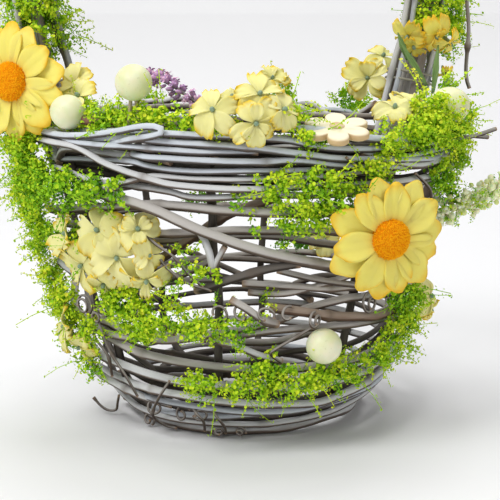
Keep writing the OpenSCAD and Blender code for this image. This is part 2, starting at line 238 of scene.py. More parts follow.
# %% [markdown]
# ## Limed bark
# The vines were stripped, dried and brushed with a thin lime wash, so the high places are a cool
# chalky grey and the hollows stay brown. On top of that, light and shade are painted in: tops are
# made paler, undersides browner and, where they face down most, near black. The colour runs in
# streaks along each vine. A picture could be wrapped on, but a noise that is squeezed along the
# vine never shows a seam. It reads `grain`, a vector that the vine tree stores: its place round
# the vine, and its distance along it.

# %% Bark in several strengths of lime
# How fine each pattern is: twice across a vine, and once along it.
STREAKS = (800, 800, 45)
PATCHES = (150, 150, 50)
SPECKS = (2600, 2600, 700)
RINGS = (2600, 2600, 500)
# Near black of the painted shadow under the vines; then the brown of knots.
UNDERSIDE_SHADOW_BARK = (0.022, 0.014, 0.009)
KNOT_BARK = (0.12, 0.08, 0.055)


def bark_finish(name, chalk, grey, brown, liming):
    """Bark from three colours; liming says how much of it keeps its chalk."""
    f = Finish(name)
    grain = f.attribute("grain", "Vector")
    tone = f.attribute("tone")
    shift = f.add("ShaderNodeCombineXYZ", {}, {"X": tone * 0.37, "Y": tone * 0.11, "Z": tone})
    moved = f.add("ShaderNodeVectorMath", {"operation": "ADD"}, {0: grain, 1: shift})
    streak = f.noise(f.scaled(moved, STREAKS), 1.0, 4.0, 0.6)
    patch = f.noise(f.scaled(moved, PATCHES), 1.0, 4.0, 0.6)
    speck = f.noise(f.scaled(moved, SPECKS), 1.0, 2.0, 0.6)
    normal = f.add("ShaderNodeNewGeometry", {}, {}, out="Normal")
    up = f.add("ShaderNodeSeparateXYZ", {}, {"Vector": normal}, out="Z")
    flat = f.scaled(f.place(), (11, 11, 0))
    outer = f.add("ShaderNodeVectorMath", {"operation": "DOT_PRODUCT"}, {0: normal, 1: flat}, out="Value")
    # Chalk where the lime lies, in streaks and patches, with painted light that makes the tops paler.
    lime_and_top_light = patch * 0.6 + streak * 0.3 + up * 0.26 + outer * 0.14 + tone * 0.3 - 0.2
    lime_and_top_light = lime_and_top_light.between(0.28 - liming, 0.66 - liming)
    body = f.mix(lime_and_top_light, grey, chalk)
    # Brown on the undersides: partly bark that the lime missed, partly painted shade.
    brown_and_underside_shade = (patch * 0.5 + streak * 0.35 - up * 0.75 - outer * 0.06 - tone * 0.1).between(0.36, 0.62)
    body = f.mix(brown_and_underside_shade * 0.9, body, brown)
    # Painted shadow: the faces that look down, and a little the inner ones, go near black.
    painted_underside_shadow = (patch * 0.2 - up * 0.60 - outer * 0.10).between(0.22, 0.62)
    body = f.mix(painted_underside_shadow * 0.7, body, UNDERSIDE_SHADOW_BARK)
    pit = speck.between(0.66, 0.80) * 0.35
    body = f.mix(pit, body, brown)
    cut = f.attribute("cut")
    rings = f.noise(f.scaled(moved, RINGS), 1.0, 2.0)
    wood = f.mix(rings, (0.16, 0.085, 0.045), (0.50, 0.36, 0.24))
    body = f.mix(cut, body, wood)
    knot = f.attribute("knot")
    body = f.mix(knot * 0.6, body, KNOT_BARK)
    relief = streak * 0.45 + patch * 0.3 - pit * 0.5
    return f.surface(Base_Color=body, Roughness=0.60 + lime_and_top_light * 0.25,
                     Normal=f.bump(relief, 0.5, 0.0004), Specular_IOR_Level=0.3)


limed_bark = bark_finish("limed_bark", chalk=(0.66, 0.665, 0.665), grey=(0.40, 0.375, 0.345),
                         brown=(0.11, 0.070, 0.045), liming=0.06)
silver_bark = bark_finish("silver_bark", chalk=(0.61, 0.65, 0.70), grey=(0.35, 0.36, 0.38),
                          brown=(0.085, 0.062, 0.050), liming=0.07)
warm_bark = bark_finish("warm_bark", chalk=(0.53, 0.50, 0.465), grey=(0.30, 0.262, 0.228),
                        brown=(0.095, 0.060, 0.040), liming=0.02)
grey_bark = bark_finish("grey_bark", chalk=(0.40, 0.375, 0.345), grey=(0.19, 0.160, 0.135),
                        brown=(0.060, 0.038, 0.024), liming=-0.05)
brown_bark = bark_finish("brown_bark", chalk=(0.36, 0.285, 0.225), grey=(0.20, 0.130, 0.088),
                         brown=(0.080, 0.038, 0.020), liming=-0.05)
# Very dark bark: on the vines deep in the weave, inside the rim and on the floor it stands in for the shade
# there, as painted shade.
dark_and_shade_bark = bark_finish("dark_and_shade_bark", chalk=(0.13, 0.115, 0.10), grey=(0.06, 0.047, 0.038),
                        brown=(0.022, 0.014, 0.009), liming=-0.04)
tendril_bark = bark_finish("tendril_bark", chalk=(0.36, 0.33, 0.30), grey=(0.17, 0.145, 0.125),
                           brown=(0.07, 0.045, 0.03), liming=0.0)
print("bark finishes:", sum(m.name.endswith("_bark") for m in bpy.data.materials))

# %% [markdown]
# ## A vine from a line
# Every rod, hoop and tendril is the same thing: a line with a thickness. A tube could be modelled
# by hand for each, but a Geometry Nodes tree can do all of them. It takes a line, makes it waver
# as a dried vine does, swells it here and there into knots, gives it a round section, and stores
# the values that the bark finish reads. Each tree's sizes are inputs, set for each vine.

# %% A tree that is written as a few lines
class Tree:
    def __init__(self, name, inputs):
        self.tree = bpy.data.node_groups.new(name, "GeometryNodeTree")
        self.tree.interface.new_socket("Geometry", in_out="INPUT", socket_type="NodeSocketGeometry")
        self.tree.interface.new_socket("Geometry", in_out="OUTPUT", socket_type="NodeSocketGeometry")
        for label, (kind, default) in inputs.items():
            socket = self.tree.interface.new_socket(label, in_out="INPUT", socket_type=kind)
            if default is not None:
                socket.default_value = default
        self.start = self.tree.nodes.new("NodeGroupInput")
        self.end = self.tree.nodes.new("NodeGroupOutput")

    def add(self, kind, settings=None, inputs=None):
        """Adds a node, sets it, feeds its inputs and returns it."""
        node = self.tree.nodes.new(kind)
        for key, setting in (settings or {}).items():
            setattr(node, key, setting)
        for key, value in (inputs or {}).items():
            if isinstance(value, bpy.types.NodeSocket):
                self.tree.links.new(value, node.inputs[key])
            else:
                node.inputs[key].default_value = value
        return node

    def maths(self, operation, first, second=0.0):
        return self.add("ShaderNodeMath", {"operation": operation}, {0: first, 1: second}).outputs[0]

    def vector(self, operation, first, second):
        node = self.add("ShaderNodeVectorMath", {"operation": operation}, {0: first})
        key = "Scale" if operation == "SCALE" else 1
        if isinstance(second, bpy.types.NodeSocket):
            self.tree.links.new(second, node.inputs[key])
        else:
            node.inputs[key].default_value = second
        return node.outputs[0]

    def store(self, geometry, name, value, domain="POINT", data_type="FLOAT"):
        return self.add("GeometryNodeStoreNamedAttribute", {"domain": domain, "data_type": data_type},
                        {"Geometry": geometry, "Name": name, "Value": value}).outputs[0]

    def value(self, label):
        return self.start.outputs[label]

    def finish(self, geometry):
        """Ends the tree in Realize Instances and Set Material."""
        real = self.add("GeometryNodeRealizeInstances", {}, {"Geometry": geometry}).outputs[0]
        painted = self.add("GeometryNodeSetMaterial", {},
                           {"Geometry": real, "Material": self.value("Finish")})
        self.tree.links.new(painted.outputs[0], self.end.inputs[0])
        return self.tree


FLOAT, WHOLE, PAINT = "NodeSocketFloat", "NodeSocketInt", "NodeSocketMaterial"

# %% Run a tree on an object
def grow(carrier, tree, name, **inputs):
    """Runs a tree on an object and returns the result as a plain mesh object."""
    modifier = carrier.modifiers.new("tree", "NODES")
    modifier.node_group = tree
    sockets = {s.name: s.identifier for s in tree.interface.items_tree if s.in_out == "INPUT"}
    for key, value in inputs.items():
        modifier[sockets[key.replace("_", " ")]] = value
    graph = bpy.context.evaluated_depsgraph_get()
    mesh = bpy.data.meshes.new_from_object(carrier.evaluated_get(graph), depsgraph=graph)
    carrier.modifiers.clear()
    bpy.data.objects.remove(carrier)
    mesh.name = name
    piece = bpy.data.objects.new(name, mesh)
    bpy.context.scene.collection.objects.link(piece)
    return piece


# %% The vine tree
def make_vine_tree():
    t = Tree("vine", {"Sides": (WHOLE, 12), "Step": (FLOAT, 0.003), "Waver": (FLOAT, 0.001),
                      "Lumps": (FLOAT, 0.1), "Knot spacing": (FLOAT, 0.09), "Knot size": (FLOAT, 0.3),
                      "Seed": (FLOAT, 0.0), "Tone": (FLOAT, 0.5), "Finish": (PAINT, None)})
    line = t.add("GeometryNodeResampleCurve", {"mode": "LENGTH"},
                 {"Curve": t.start.outputs[0], "Length": t.value("Step")}).outputs[0]
    along = t.add("GeometryNodeSplineParameter").outputs["Length"]
    length = t.add("GeometryNodeSplineLength").outputs["Length"]
    place = t.add("GeometryNodeInputPosition").outputs[0]
    seed = t.add("ShaderNodeCombineXYZ", {}, {"X": t.value("Seed"), "Y": t.value("Seed")}).outputs[0]
    moved = t.vector("ADD", t.vector("SCALE", place, 26.0), seed)
    wander = t.add("ShaderNodeTexNoise", {}, {"Vector": moved, "Scale": 1.0, "Detail": 2.5}).outputs[1]
    offset = t.vector("SCALE", t.vector("SUBTRACT", wander, (0.5, 0.5, 0.5)), t.value("Waver"))
    line = t.add("GeometryNodeSetPosition", {}, {"Geometry": line, "Offset": offset}).outputs[0]
    # Knots come every so often: the nearer to one, the thicker the vine.
    turn = t.maths("ADD", t.maths("DIVIDE", along, t.value("Knot spacing")), t.value("Seed"))
    off = t.maths("ABSOLUTE", t.maths("SUBTRACT", t.maths("FRACT", turn), 0.5))
    from_knot = t.maths("MULTIPLY", off, t.value("Knot spacing"))
    knot = t.maths("SUBTRACT", 1.0, t.maths("MULTIPLY", from_knot, 260.0))
    knot = t.maths("POWER", t.maths("MAXIMUM", knot, 0.0), 1.6)
    left = t.maths("SUBTRACT", length, along)
    end = t.maths("MINIMUM", along, left)
    cut = t.maths("LESS_THAN", end, 0.0004)
    radius = t.add("GeometryNodeInputRadius").outputs[0]
    swell = t.maths("ADD", 1.0, t.maths("MULTIPLY", knot, t.value("Knot size")))
    thick = t.maths("MULTIPLY", radius, swell)
    line = t.add("GeometryNodeSetCurveRadius", {}, {"Curve": line, "Radius": thick}).outputs[0]
    line = t.store(line, "along", along)
    line = t.store(line, "knot", knot)
    line = t.store(line, "cut", cut)
    line = t.store(line, "thick", radius)
    ring = t.add("GeometryNodeCurvePrimitiveCircle", {"mode": "RADIUS"},
                 {"Resolution": t.value("Sides"), "Radius": 1.0}).outputs[0]
    share = t.add("GeometryNodeSplineParameter").outputs["Factor"]
    ring = t.store(ring, "around", share)
    scale = t.add("GeometryNodeInputRadius").outputs[0]
    tube = t.add("GeometryNodeCurveToMesh", {}, {"Curve": line, "Profile Curve": ring, "Fill Caps": True,
                                                 "Scale": scale}).outputs[0]
    named = {k: t.add("GeometryNodeInputNamedAttribute", {"data_type": "FLOAT"}, {"Name": k}).outputs[0]
             for k in ("along", "around", "thick")}
    angle = t.maths("MULTIPLY", named["around"], 2 * math.pi)
    across = t.maths("MULTIPLY", named["thick"], t.maths("COSINE", angle))
    updown = t.maths("MULTIPLY", named["thick"], t.maths("SINE", angle))
    grain = t.add("ShaderNodeCombineXYZ", {}, {"X": across, "Y": updown, "Z": named["along"]}).outputs[0]
    tube = t.store(tube, "grain", grain, data_type="FLOAT_VECTOR")
    tube = t.store(tube, "tone", t.value("Tone"))
    # Low ridges run along the vine, so its outline isn't a perfect circle.
    ridge_at = t.vector("ADD", t.vector("MULTIPLY", grain, (420.0, 420.0, 70.0)), seed)
    ridge = t.add("ShaderNodeTexNoise", {}, {"Vector": ridge_at, "Scale": 1.0, "Detail": 2.0}).outputs[0]
    height = t.maths("MULTIPLY", t.maths("MULTIPLY", t.maths("SUBTRACT", ridge, 0.5), t.value("Lumps")),
                     named["thick"])
    normal = t.add("GeometryNodeInputNormal").outputs[0]
    offset = t.vector("SCALE", normal, height)
    tube = t.add("GeometryNodeSetPosition", {}, {"Geometry": tube, "Offset": offset}).outputs[0]
    smooth = t.add("GeometryNodeSetShadeSmooth", {}, {"Geometry": tube}).outputs[0]
    return t.finish(smooth)


vine_tree = make_vine_tree()
print("nodes in the vine tree:", len(vine_tree.nodes))

# %% Smooth lines, and vines along them
SEED = 7
rng = random.Random(SEED)


def smooth_line(points, steps=8, closed=False):
    """A smooth line through hand-set points: a Catmull-Rom curve."""
    points = [Vector(p) for p in points]
    count = len(points)
    line = []
    for i in range(count if closed else count - 1):
        a, b, c, d = [points[j % count] if closed else points[min(max(j, 0), count - 1)]
                      for j in (i - 1, i, i + 1, i + 2)]
        for k in range(steps):
            s = k / steps
            line.append(0.5 * (2 * b + (c - a) * s + (2 * a - 5 * b + 4 * c - d) * s * s
                               + (3 * b - 3 * c + d - a) * s ** 3))
    if not closed:
        line.append(points[-1])
    return line


def vine(name, lines, thick, finish, node=None, slot="limed_vine", waver=1.0, knots=0.3, tone=None,
         step=3.0, sides=12, taper=0.0, lumps=0.16):
    """One vine, or a group of them, from lines of points in metres; thick is a radius in mm."""
    data = bpy.data.curves.new(name, "CURVE")
    data.dimensions = "3D"
    for line in lines:
        spline = data.splines.new("POLY")
        spline.points.add(len(line) - 1)
        for i, (target, point) in enumerate(zip(spline.points, line)):
            target.co = (*point, 1)
            target.radius = thick * MM * (1 - taper * i / (len(line) - 1))
    carrier = bpy.data.objects.new(name + "_line", data)
    bpy.context.scene.collection.objects.link(carrier)
    piece = grow(carrier, vine_tree, name, Sides=sides, Step=step * MM, Waver=waver * 2 * MM, Lumps=lumps,
                 Knot_spacing=rng.uniform(0.06, 0.13), Knot_size=knots, Seed=rng.uniform(0, 40),
                 Tone=rng.uniform(0, 1) if tone is None else tone, Finish=finish)
    bpy.data.curves.remove(data)
    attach(piece, "root")
    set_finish(piece, slot)
    if node:
        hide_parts(*([node] if isinstance(node, str) else node))
    return piece


# %% [markdown]
# ## Where the wall is
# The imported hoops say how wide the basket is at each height, so every vine is placed from two
# numbers that are easy to think in: a bearing in degrees round the basket (0 is the front, and
# right is positive) and a height in mm. `on_wall` turns them into a point on the weave.

# %% Read the wall's line from the frame
CAD_VINE_RADIUS = 0.0021


def hoop_size(node):
    """Height of a hoop's middle and radius of its centre line, from its box."""
    low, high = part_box(node)
    width = max(high.x - low.x, high.y - low.y)
    return (low.z + high.z) / 2, width / 2 - CAD_VINE_RADIUS


wall_line = sorted(hoop_size(name) for name in
                   ("foot_ring", "wall_hoop_1", "wall_hoop_2", "wall_hoop_3", "wall_hoop_4",
                    "wall_hoop_8", "wall_hoop_9", "rim_hoop_4", "rim_hoop_2", "rim_hoop_1"))
wall_heights = [z for z, r in wall_line]
wall_radii = [r for z, r in wall_line]
rim_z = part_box("rim_hoop_1")[1].z
lean = math.atan2(wall_radii[-1] - wall_radii[3], wall_heights[-1] - wall_heights[3])
print("rim height", round(rim_z / MM), "lean", round(math.degrees(lean), 1))

# %% Points and directions round the basket
ABOVE_RIM_LEAN = 0.1


def wall_radius(z):
    """Radius of the weave's centre line at a height, in metres."""
    if z > wall_heights[-1]:
        return wall_radii[-1] + (z - wall_heights[-1]) * ABOVE_RIM_LEAN
    return float(np.interp(z, wall_heights, wall_radii))


def on_wall(bearing, height, proud=0.0):
    """A point on the weave: degrees, mm up, and mm out from the weave's centre line."""
    angle = math.radians(bearing)
    radius = wall_radius(height * MM) + proud * MM
    return Vector((radius * math.sin(angle), -radius * math.cos(angle), height * MM))


def outward(bearing, lift=0.0):
    """A direction: away from the axis at a bearing, tipped up by lift degrees."""
    angle, up = math.radians(bearing), math.radians(lift)
    return Vector((math.sin(angle) * math.cos(up), -math.cos(angle) * math.cos(up), math.sin(up)))


print("wall radius half way up, in mm:", round(wall_radius(rim_z / 2) / MM))

# %% [markdown]
# ## The weave
# Real weavers don't lay true circles: each vine has its own rise and its own way round. Every hoop
# here is listed where it crosses the front, and wanders on its own round the back. `hoop`
# joins both: the front's points, then a seeded walk at the height where the front ends.

# %% A hoop goes most of the way round, a strand only part of the way
BACK_STEP = 32  # degrees between the seeded points at the back


def hoop(name, front, thick, node=None, proud=0.0, sway=2.0, finish=limed_bark, gap=20, **more):
    """front is a list of (bearing, height); the far end stops a step and most of gap short of the start."""
    spots = [(b, h, proud + rng.uniform(-0.6, 0.6)) for b, h in front]
    first, last = front[0], front[-1]
    turn = first[0] + 360 - last[0]
    steps = max(2, int(turn / BACK_STEP))
    for i in range(1, steps):
        share = i / steps
        bearing = last[0] + (turn - gap) * share
        height = last[1] + (first[1] - last[1]) * share + rng.uniform(-sway, sway)
        spots.append((bearing, height, proud + rng.uniform(-1.5, 1.5)))
    line = smooth_line([on_wall(*s) for s in spots], 10)
    return vine(name, [line], thick, finish, node, **more)


def strand(name, spots, thick, node=None, finish=limed_bark, **more):
    """A vine that runs only part of the way; spots are (bearing, height, proud)."""
    return vine(name, [smooth_line([on_wall(*s) for s in spots], 10)], thick, finish, node, **more)


# %% Vines of the foot and the wall
hoop("foot_ring", [(-82, 4), (-43, 3.2), (-15, 3.0), (3, 3.0), (22, 3.2), (43, 5), (64, 4.5)], 2.6,
     "foot_ring", proud=-2, sway=0.3, gap=2, knots=0.15)
hoop("foot_hoop", [(-68, 8), (-36, 9), (-17, 10), (3, 12), (23, 13), (50, 13)], 1.8, "foot_hoop",
     proud=-2, finish=silver_bark)
hoop("foot_wrap", [(-80, 10), (-50, 8), (-20, 7), (10, 7), (40, 9), (75, 12)], 1.5, proud=0)
hoop("wall_hoop_1", [(-82, 19), (-37, 24), (-18, 23), (3, 20), (26, 17), (40, 19), (56, 24)], 1.9,
     "wall_hoop_1", tone=0.9)
hoop("wall_hoop_2", [(-82, 32), (-60, 33), (-41, 32), (-22, 30), (3, 29), (22, 27), (37, 28), (50, 30)], 2.0,
     "wall_hoop_2", tone=0.7)
hoop("wall_hoop_3", [(-68, 46), (-41, 43), (-28, 41), (-11, 39), (8, 37), (27, 37), (45, 38)], 2.0,
     "wall_hoop_3", finish=warm_bark, tone=1.0)
hoop("wall_hoop_4", [(-62, 53), (-35, 50), (-26, 49), (-13, 53), (2, 58), (12, 62), (20, 66), (33, 68)], 1.9,
     "wall_hoop_4", finish=warm_bark, tone=0.5)
strand("wall_hoop_5", [(8, 68, 3), (16, 66, 5), (24, 63, 5), (33, 61, 5), (46, 59, 5), (70, 60, 4),
                       (95, 66, 3), (120, 68, 2)], 2.2, "wall_hoop_5", brown_bark, slot="brown_vine",
       tone=0.5)
hoop("wall_hoop_6", [(-60, 58), (-20, 52), (10, 48), (40, 54)], 1.7, "wall_hoop_6", proud=-10,
     finish=grey_bark)
hoop("wall_hoop_7", [(-70, 88), (-30, 94), (5, 99), (40, 90)], 1.8, "wall_hoop_7", proud=-10,
     finish=grey_bark)
hoop("wall_hoop_8", [(-60, 98), (-25, 100), (-10, 101), (-2, 102), (21, 101), (50, 97)], 1.9, "wall_hoop_8",
     proud=-1, finish=warm_bark, tone=0.3)
hoop("wall_hoop_9", [(-81, 101), (-62, 104), (-38, 110), (-22, 113), (2, 111), (20, 110), (50, 108)], 2.1,
     "wall_hoop_9", proud=1, finish=warm_bark)
strand("diagonal_vine_1", [(-42, 117, 3), (-30, 115, 5), (-20, 111, 6), (-9, 103, 6), (2, 96, 6),
                           (12, 91, 5), (24, 86, 5), (38, 81, 4)], 2.3, "diagonal_vine_1", warm_bark,
       tone=0.9)
strand("diagonal_vine_2", [(-40, 78, -7), (-27, 86, -8), (-16, 96, -8), (-4, 108, -8), (10, 116, -8)], 2.1,
       "diagonal_vine_2", brown_bark, slot="grey_vine", tone=0.6)

# %% [markdown]
# ## More weavers
# The weave has more vines than the frame needs to carry: second strands that run beside the
# first, short lengths with cut ends, and thin dark ones deep in the foot, whose very dark bark is
# painted shade in the gaps of the weave. They close the wall to the right degree, and each has its
# own thickness and tone.

# %% Extra vines of the wall
hoop("weaver_low_2", [(-80, 14), (-45, 17), (-10, 16), (20, 14), (55, 17)], 1.6, finish=silver_bark,
     tone=0.9)
strand("weaver_low_1", [(-84, 40, 2), (-72, 30, 3), (-60, 24, 3), (-44, 18, 1), (-30, 14, -3)], 1.7, tone=0.6)
hoop("weaver_low_3", [(-70, 40), (-50, 37), (-20, 24), (10, 24), (40, 33), (70, 40)], 1.4, proud=-8,
     finish=dark_and_shade_bark)
# Thin vines deep in the foot, in very dark bark as painted shade between the front hoops.
# Rows of height at the front and at the sides, and how deep in the weave.
shaded_foot_rows = ((6, 11, -4), (10, 17, -5), (18, 22, -6), (25, 29, -7), (34, 30, -8), (40, 46, -9))
for i, (low, high, deep) in enumerate(shaded_foot_rows):
    spots = [(b, low + (high - low) * abs(b) / 90 + rng.uniform(-2.5, 2.5), deep + rng.uniform(-1, 1))
             for b in range(-90, 91, 18)]
    strand("weaver_dark_%d" % (i + 1), spots, 1.4, finish=dark_and_shade_bark, slot="brown_vine", tone=0.2)
strand("weaver_left_mid", [(-95, 62, 0), (-72, 56, 2), (-58, 50, 2), (-40, 48, 0), (-22, 52, -3)], 1.9,
       finish=warm_bark)
strand("weaver_left_thick", [(-86, 82, -2), (-68, 84, 3), (-57, 86, 4), (-46, 86, 2), (-34, 84, -4)], 2.5)
strand("weaver_left_low", [(-96, 76, 0), (-74, 76, 2), (-58, 74, 2), (-40, 68, -3)], 2.0)
strand("weaver_dark", [(-13, 75, 0), (-8, 78, 3), (-2, 82, 5), (4, 85.5, 5), (10, 87.5, 5), (15, 88, 4)], 1.9,
       finish=dark_and_shade_bark, slot="brown_vine", tone=0.9)
strand("weaver_stub", [(-11, 102, 0), (-9, 97, 3), (-8, 91, 4), (-7.5, 85, 4)], 1.6, tone=0.7)
strand("weaver_fork", [(-4, 96, 3), (-6, 90, 4), (-7.5, 84, 4)], 1.3, tone=0.4)
strand("weaver_cut", [(-3, 73, 6), (1, 69, 7), (4, 65, 7), (7, 62, 6), (10, 60, 4)], 1.8,
       finish=warm_bark, tone=0.9, knots=0.8)
strand("weaver_branch", [(-9, 54, 4), (-2, 51, 5), (5, 46, 5), (12, 42, 4)], 1.6, knots=0.6)
# Rows of thickness, finish, tone and spots.
runs = ((1.7, warm_bark, 0.3, [(-14, 50, -6), (2, 55, 0), (18, 57, 2), (35, 56, 2), (60, 52, 0)]),
        (1.5, warm_bark, 0.4, [(2, 74, -3), (12, 74, 2), (26, 78, 2), (38, 82, 2), (60, 84, 0)]),
        (1.6, warm_bark, 0.6, [(0, 78, -3), (14, 77, 1), (26, 75, 2), (40, 74, 2), (60, 70, 0)]),
        (1.5, grey_bark, None, [(10, 84, -3), (20, 80, 2), (32, 76, 3), (46, 70, 2)]),
        (1.7, grey_bark, 0.2, [(-30, 76, -2), (-22, 79, -1), (-14, 84, -2), (-6, 90, -6)]))
for i, (thick, finish, tone, spots) in enumerate(runs):
    strand("weaver_run_%d" % (i + 1), spots, thick, finish=finish, tone=tone)
for i in range(7):
    start = 105 + 24 * i + rng.uniform(-8, 8)
    low, high = rng.uniform(30, 100), rng.uniform(30, 110)
    spots = [(start + 14 * k, low + (high - low) * k / 4 + rng.uniform(-3, 3), rng.uniform(-7, 2))
             for k in range(5)]
    strand("weaver_far_%d" % (i + 1), spots, rng.uniform(1.6, 2.1), finish=grey_bark,
           tone=rng.uniform(0, 0.5))

# %% [markdown]
# ## The rim
# A thick bundle of long vines ends the wall. Most go once round, and their ends are tucked in or
# cut off in sight. One turns back in a loop at the front left. Darker ones lie inside: their very
# dark bark is painted shade behind the front vines.

# %% Rim vines
hoop("rim_hoop_1", [(-60, 137), (-41, 138.5), (-27, 141), (-19, 140.5), (2, 138.5), (13, 136), (24, 133),
                    (38, 131), (58, 129)], 1.6, "rim_hoop_1", proud=1.5, finish=silver_bark, tone=0.9)
hoop("rim_hoop_2", [(-60, 141), (-22, 144), (-9, 143.5), (2, 143), (11, 141.5), (20, 138), (34, 136),
                    (60, 136)], 1.5, "rim_hoop_2", finish=silver_bark, tone=0.8)
strand("rim_hoop_3", [(-28, 134, -3), (-24, 134, 2), (-19, 133.5, 3), (2, 132.5, 2), (13, 133, 2),
                      (24, 130, 1), (50, 127, 1), (90, 128, 1), (140, 130, 0), (190, 132, 0),
                      (250, 130, 0), (300, 131, -3)], 1.5, "rim_hoop_3", finish=silver_bark, tone=1.0)
hoop("rim_hoop_4", [(-60, 137), (-51, 137), (-41, 136), (-33, 130), (-25, 126), (-15, 122.5), (2, 121),
                    (15, 122), (45, 121)], 1.55, "rim_hoop_4", proud=3.5, tone=0.9)
hoop("rim_hoop_5", [(-60, 141), (0, 141), (60, 138)], 1.8, "rim_hoop_5", proud=-10, finish=grey_bark)
hoop("rim_hoop_6", [(-60, 133), (0, 134), (60, 131)], 1.8, "rim_hoop_6", proud=-10, finish=grey_bark)
strand("rim_hoop_7", [(-128, 143, -5), (-104, 144, -4), (-79, 143, -3), (-61, 141, 1), (-48, 140.5, 3),
                      (-37, 142, 4), (-29, 144, 4), (-22, 146.5, 4), (-18.5, 146.5, 4), (-17, 145, 5),
                      (-19, 143, 5), (-25, 141, 4), (-33, 138.5, 0), (-41, 138, -5)], 1.5, "rim_hoop_7",
       finish=silver_bark, tone=0.8, knots=0.1)
strand("rim_left_top", [(-96, 146, -3), (-76, 146, -2), (-60, 143, -1), (-44, 139, 3), (-34, 138, 4),
                        (-24, 138, 3), (-12, 137, 1), (4, 136, -2)], 1.4, finish=silver_bark, tone=0.6)
hoop("rim_strand_1", [(-60, 128), (-29, 131.5), (-23, 130), (-15, 128.5), (2, 128.5), (20, 129),
                      (50, 132)], 1.35, finish=silver_bark, tone=0.9)
strand("rim_strand_2", [(-60, 125, 0), (-48, 124, 2), (-39, 121.5, 3), (-30, 122, 3), (-22, 125.5, 2),
                        (-12, 125, 0), (2, 125, 0), (23, 126, 1), (45, 127, 1), (70, 126, 0)], 1.3, tone=0.8)
hoop("rim_strand_3", [(-60, 121), (-39, 121), (-19, 119), (-12, 117), (2, 117.5), (30, 117), (60, 118)],
     1.5, tone=0.5)
# The vines inside the rim are painted shade: very dark bark in the gaps behind the front.
# Rows of height at the left, the middle and the right, and how deep in the rim.
shaded_rim_rows = ((131, 136, 133, -4), (127, 124.5, 128, -6), (138, 130, 134, -7), (141, 140, 136, -8),
            (124, 121, 120, -6), (134, 133, 130, -9))
for i, (left, mid, right, deep) in enumerate(shaded_rim_rows):
    heights = (left + 2, left, mid + 1, mid, mid + 1, right, right + 2)
    spots = [(b, height, deep) for b, height in zip((-95, -60, -20, 2, 30, 60, 90), heights)]
    strand("rim_dark_%d" % (i + 1), spots, 1.7, finish=dark_and_shade_bark, slot="brown_vine", waver=1.6)
strand("rim_strand_7", [(4, 147, -2), (20, 144, -1), (34, 140, 0), (60, 137, 0), (85, 138, 0)], 1.9,
       finish=silver_bark)
strand("rim_strand_8", [(30, 135, -2), (44, 128, 2), (58, 127.5, 3), (64, 128, 3)], 1.9, tone=0.9)
for i in range(5):
    start = 95 + 38 * i
    strand("rim_far_%d" % (i + 1), [(start + 16 * k, rng.uniform(122, 147), rng.uniform(-5, 1))
                                    for k in range(7)], rng.uniform(1.6, 2.0), tone=0.9)

# %% [markdown]
# ## Stakes and floor
# Eight stakes carry the weave. Each is one vine: a spoke on the floor, a tight turn, and a rod up
# the wall. The frame's own spokes say at which bearing each one stands.

# %% Stakes and floor hoops
def bearing_of(node):
    """Bearing of the far end of a CAD vine, from its highest points."""
    spots = np.array([v.co for v in frame["nodes"][node].data.vertices])
    x, y, z = spots[spots[:, 2] > spots[:, 2].max() - 0.004].mean(0)
    return math.degrees(math.atan2(x, -y))


spoke_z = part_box("stake_1")[0].z + 0.0023
SPOKE_AND_TURN = ((12, 0), (30, 0.4), (46, 0), (56, 1.8), (64, 7), (69, 14))
# Stakes and floor hoops are in the very dark bark: painted shade for the inside of the basket.
for i in range(8):
    name = "stake_%d" % (i + 1)
    bearing = bearing_of(name)
    out = outward(bearing)
    points = [out * r * MM + Vector((0, 0, spoke_z + up * MM)) for r, up in SPOKE_AND_TURN]
    points += [on_wall(bearing + rng.uniform(-1, 1), h, -5.0) for h in (32, 50, 70, 90, 110, 125, 134)]
    vine(name, [smooth_line(points, 8)], 1.9, dark_and_shade_bark, name, slot="grey_vine", tone=rng.uniform(0.5, 1.0))
for name in ("floor_hoop_1", "floor_hoop_2"):
    low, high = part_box(name)
    radius = (high.x - low.x) / 2 - 0.002
    ring = [Vector((radius * math.cos(a), radius * math.sin(a), (low.z + high.z) / 2))
            for a in np.radians(np.arange(20, 362, 18))]
    vine(name, [smooth_line(ring, 4)], 1.9, dark_and_shade_bark, name, waver=0.6)
print("spokes in mm up:", round(spoke_z / MM, 1), "floor hoop radius:", round(radius / MM, 1))

# %% [markdown]
# ## The handle
# The arch is a bundle of rods that were bent together while wet. Each rod's line is worked out
# from its shape in the frame: the middle of its span, the widest place, and the top.

# %% Handle rods
handle_spots = np.array([v.co for v in frame["nodes"]["handle_rod_1"].data.vertices])
flat = handle_spots[:, :2] - handle_spots[:, :2].mean(0)
across = np.linalg.svd(flat, full_matrices=False)[2][0]
across = Vector((*(across * np.sign(across[0])), 0)).normalized()
sideways = Vector((-across.y, across.x, 0))
# The span across a rod's CAD mesh is this much more than the rod's thickness.
ROD_BULGE = 1.07


def arch(node):
    """Middle point, bend radius, arch height, leg end height and rod radius of a handle rod."""
    spots = np.array([v.co for v in frame["nodes"][node].data.vertices])
    along = spots @ np.array(across)
    aside = spots @ np.array(sideways)
    radius = (aside.max() - aside.min()) / 2 / ROD_BULGE
    middle = across * (along.max() + along.min()) / 2 + sideways * (aside.max() + aside.min()) / 2
    reach = (along.max() - along.min()) / 2
    return middle, reach - radius, spots[:, 2].max() - reach, spots[:, 2].min(), radius


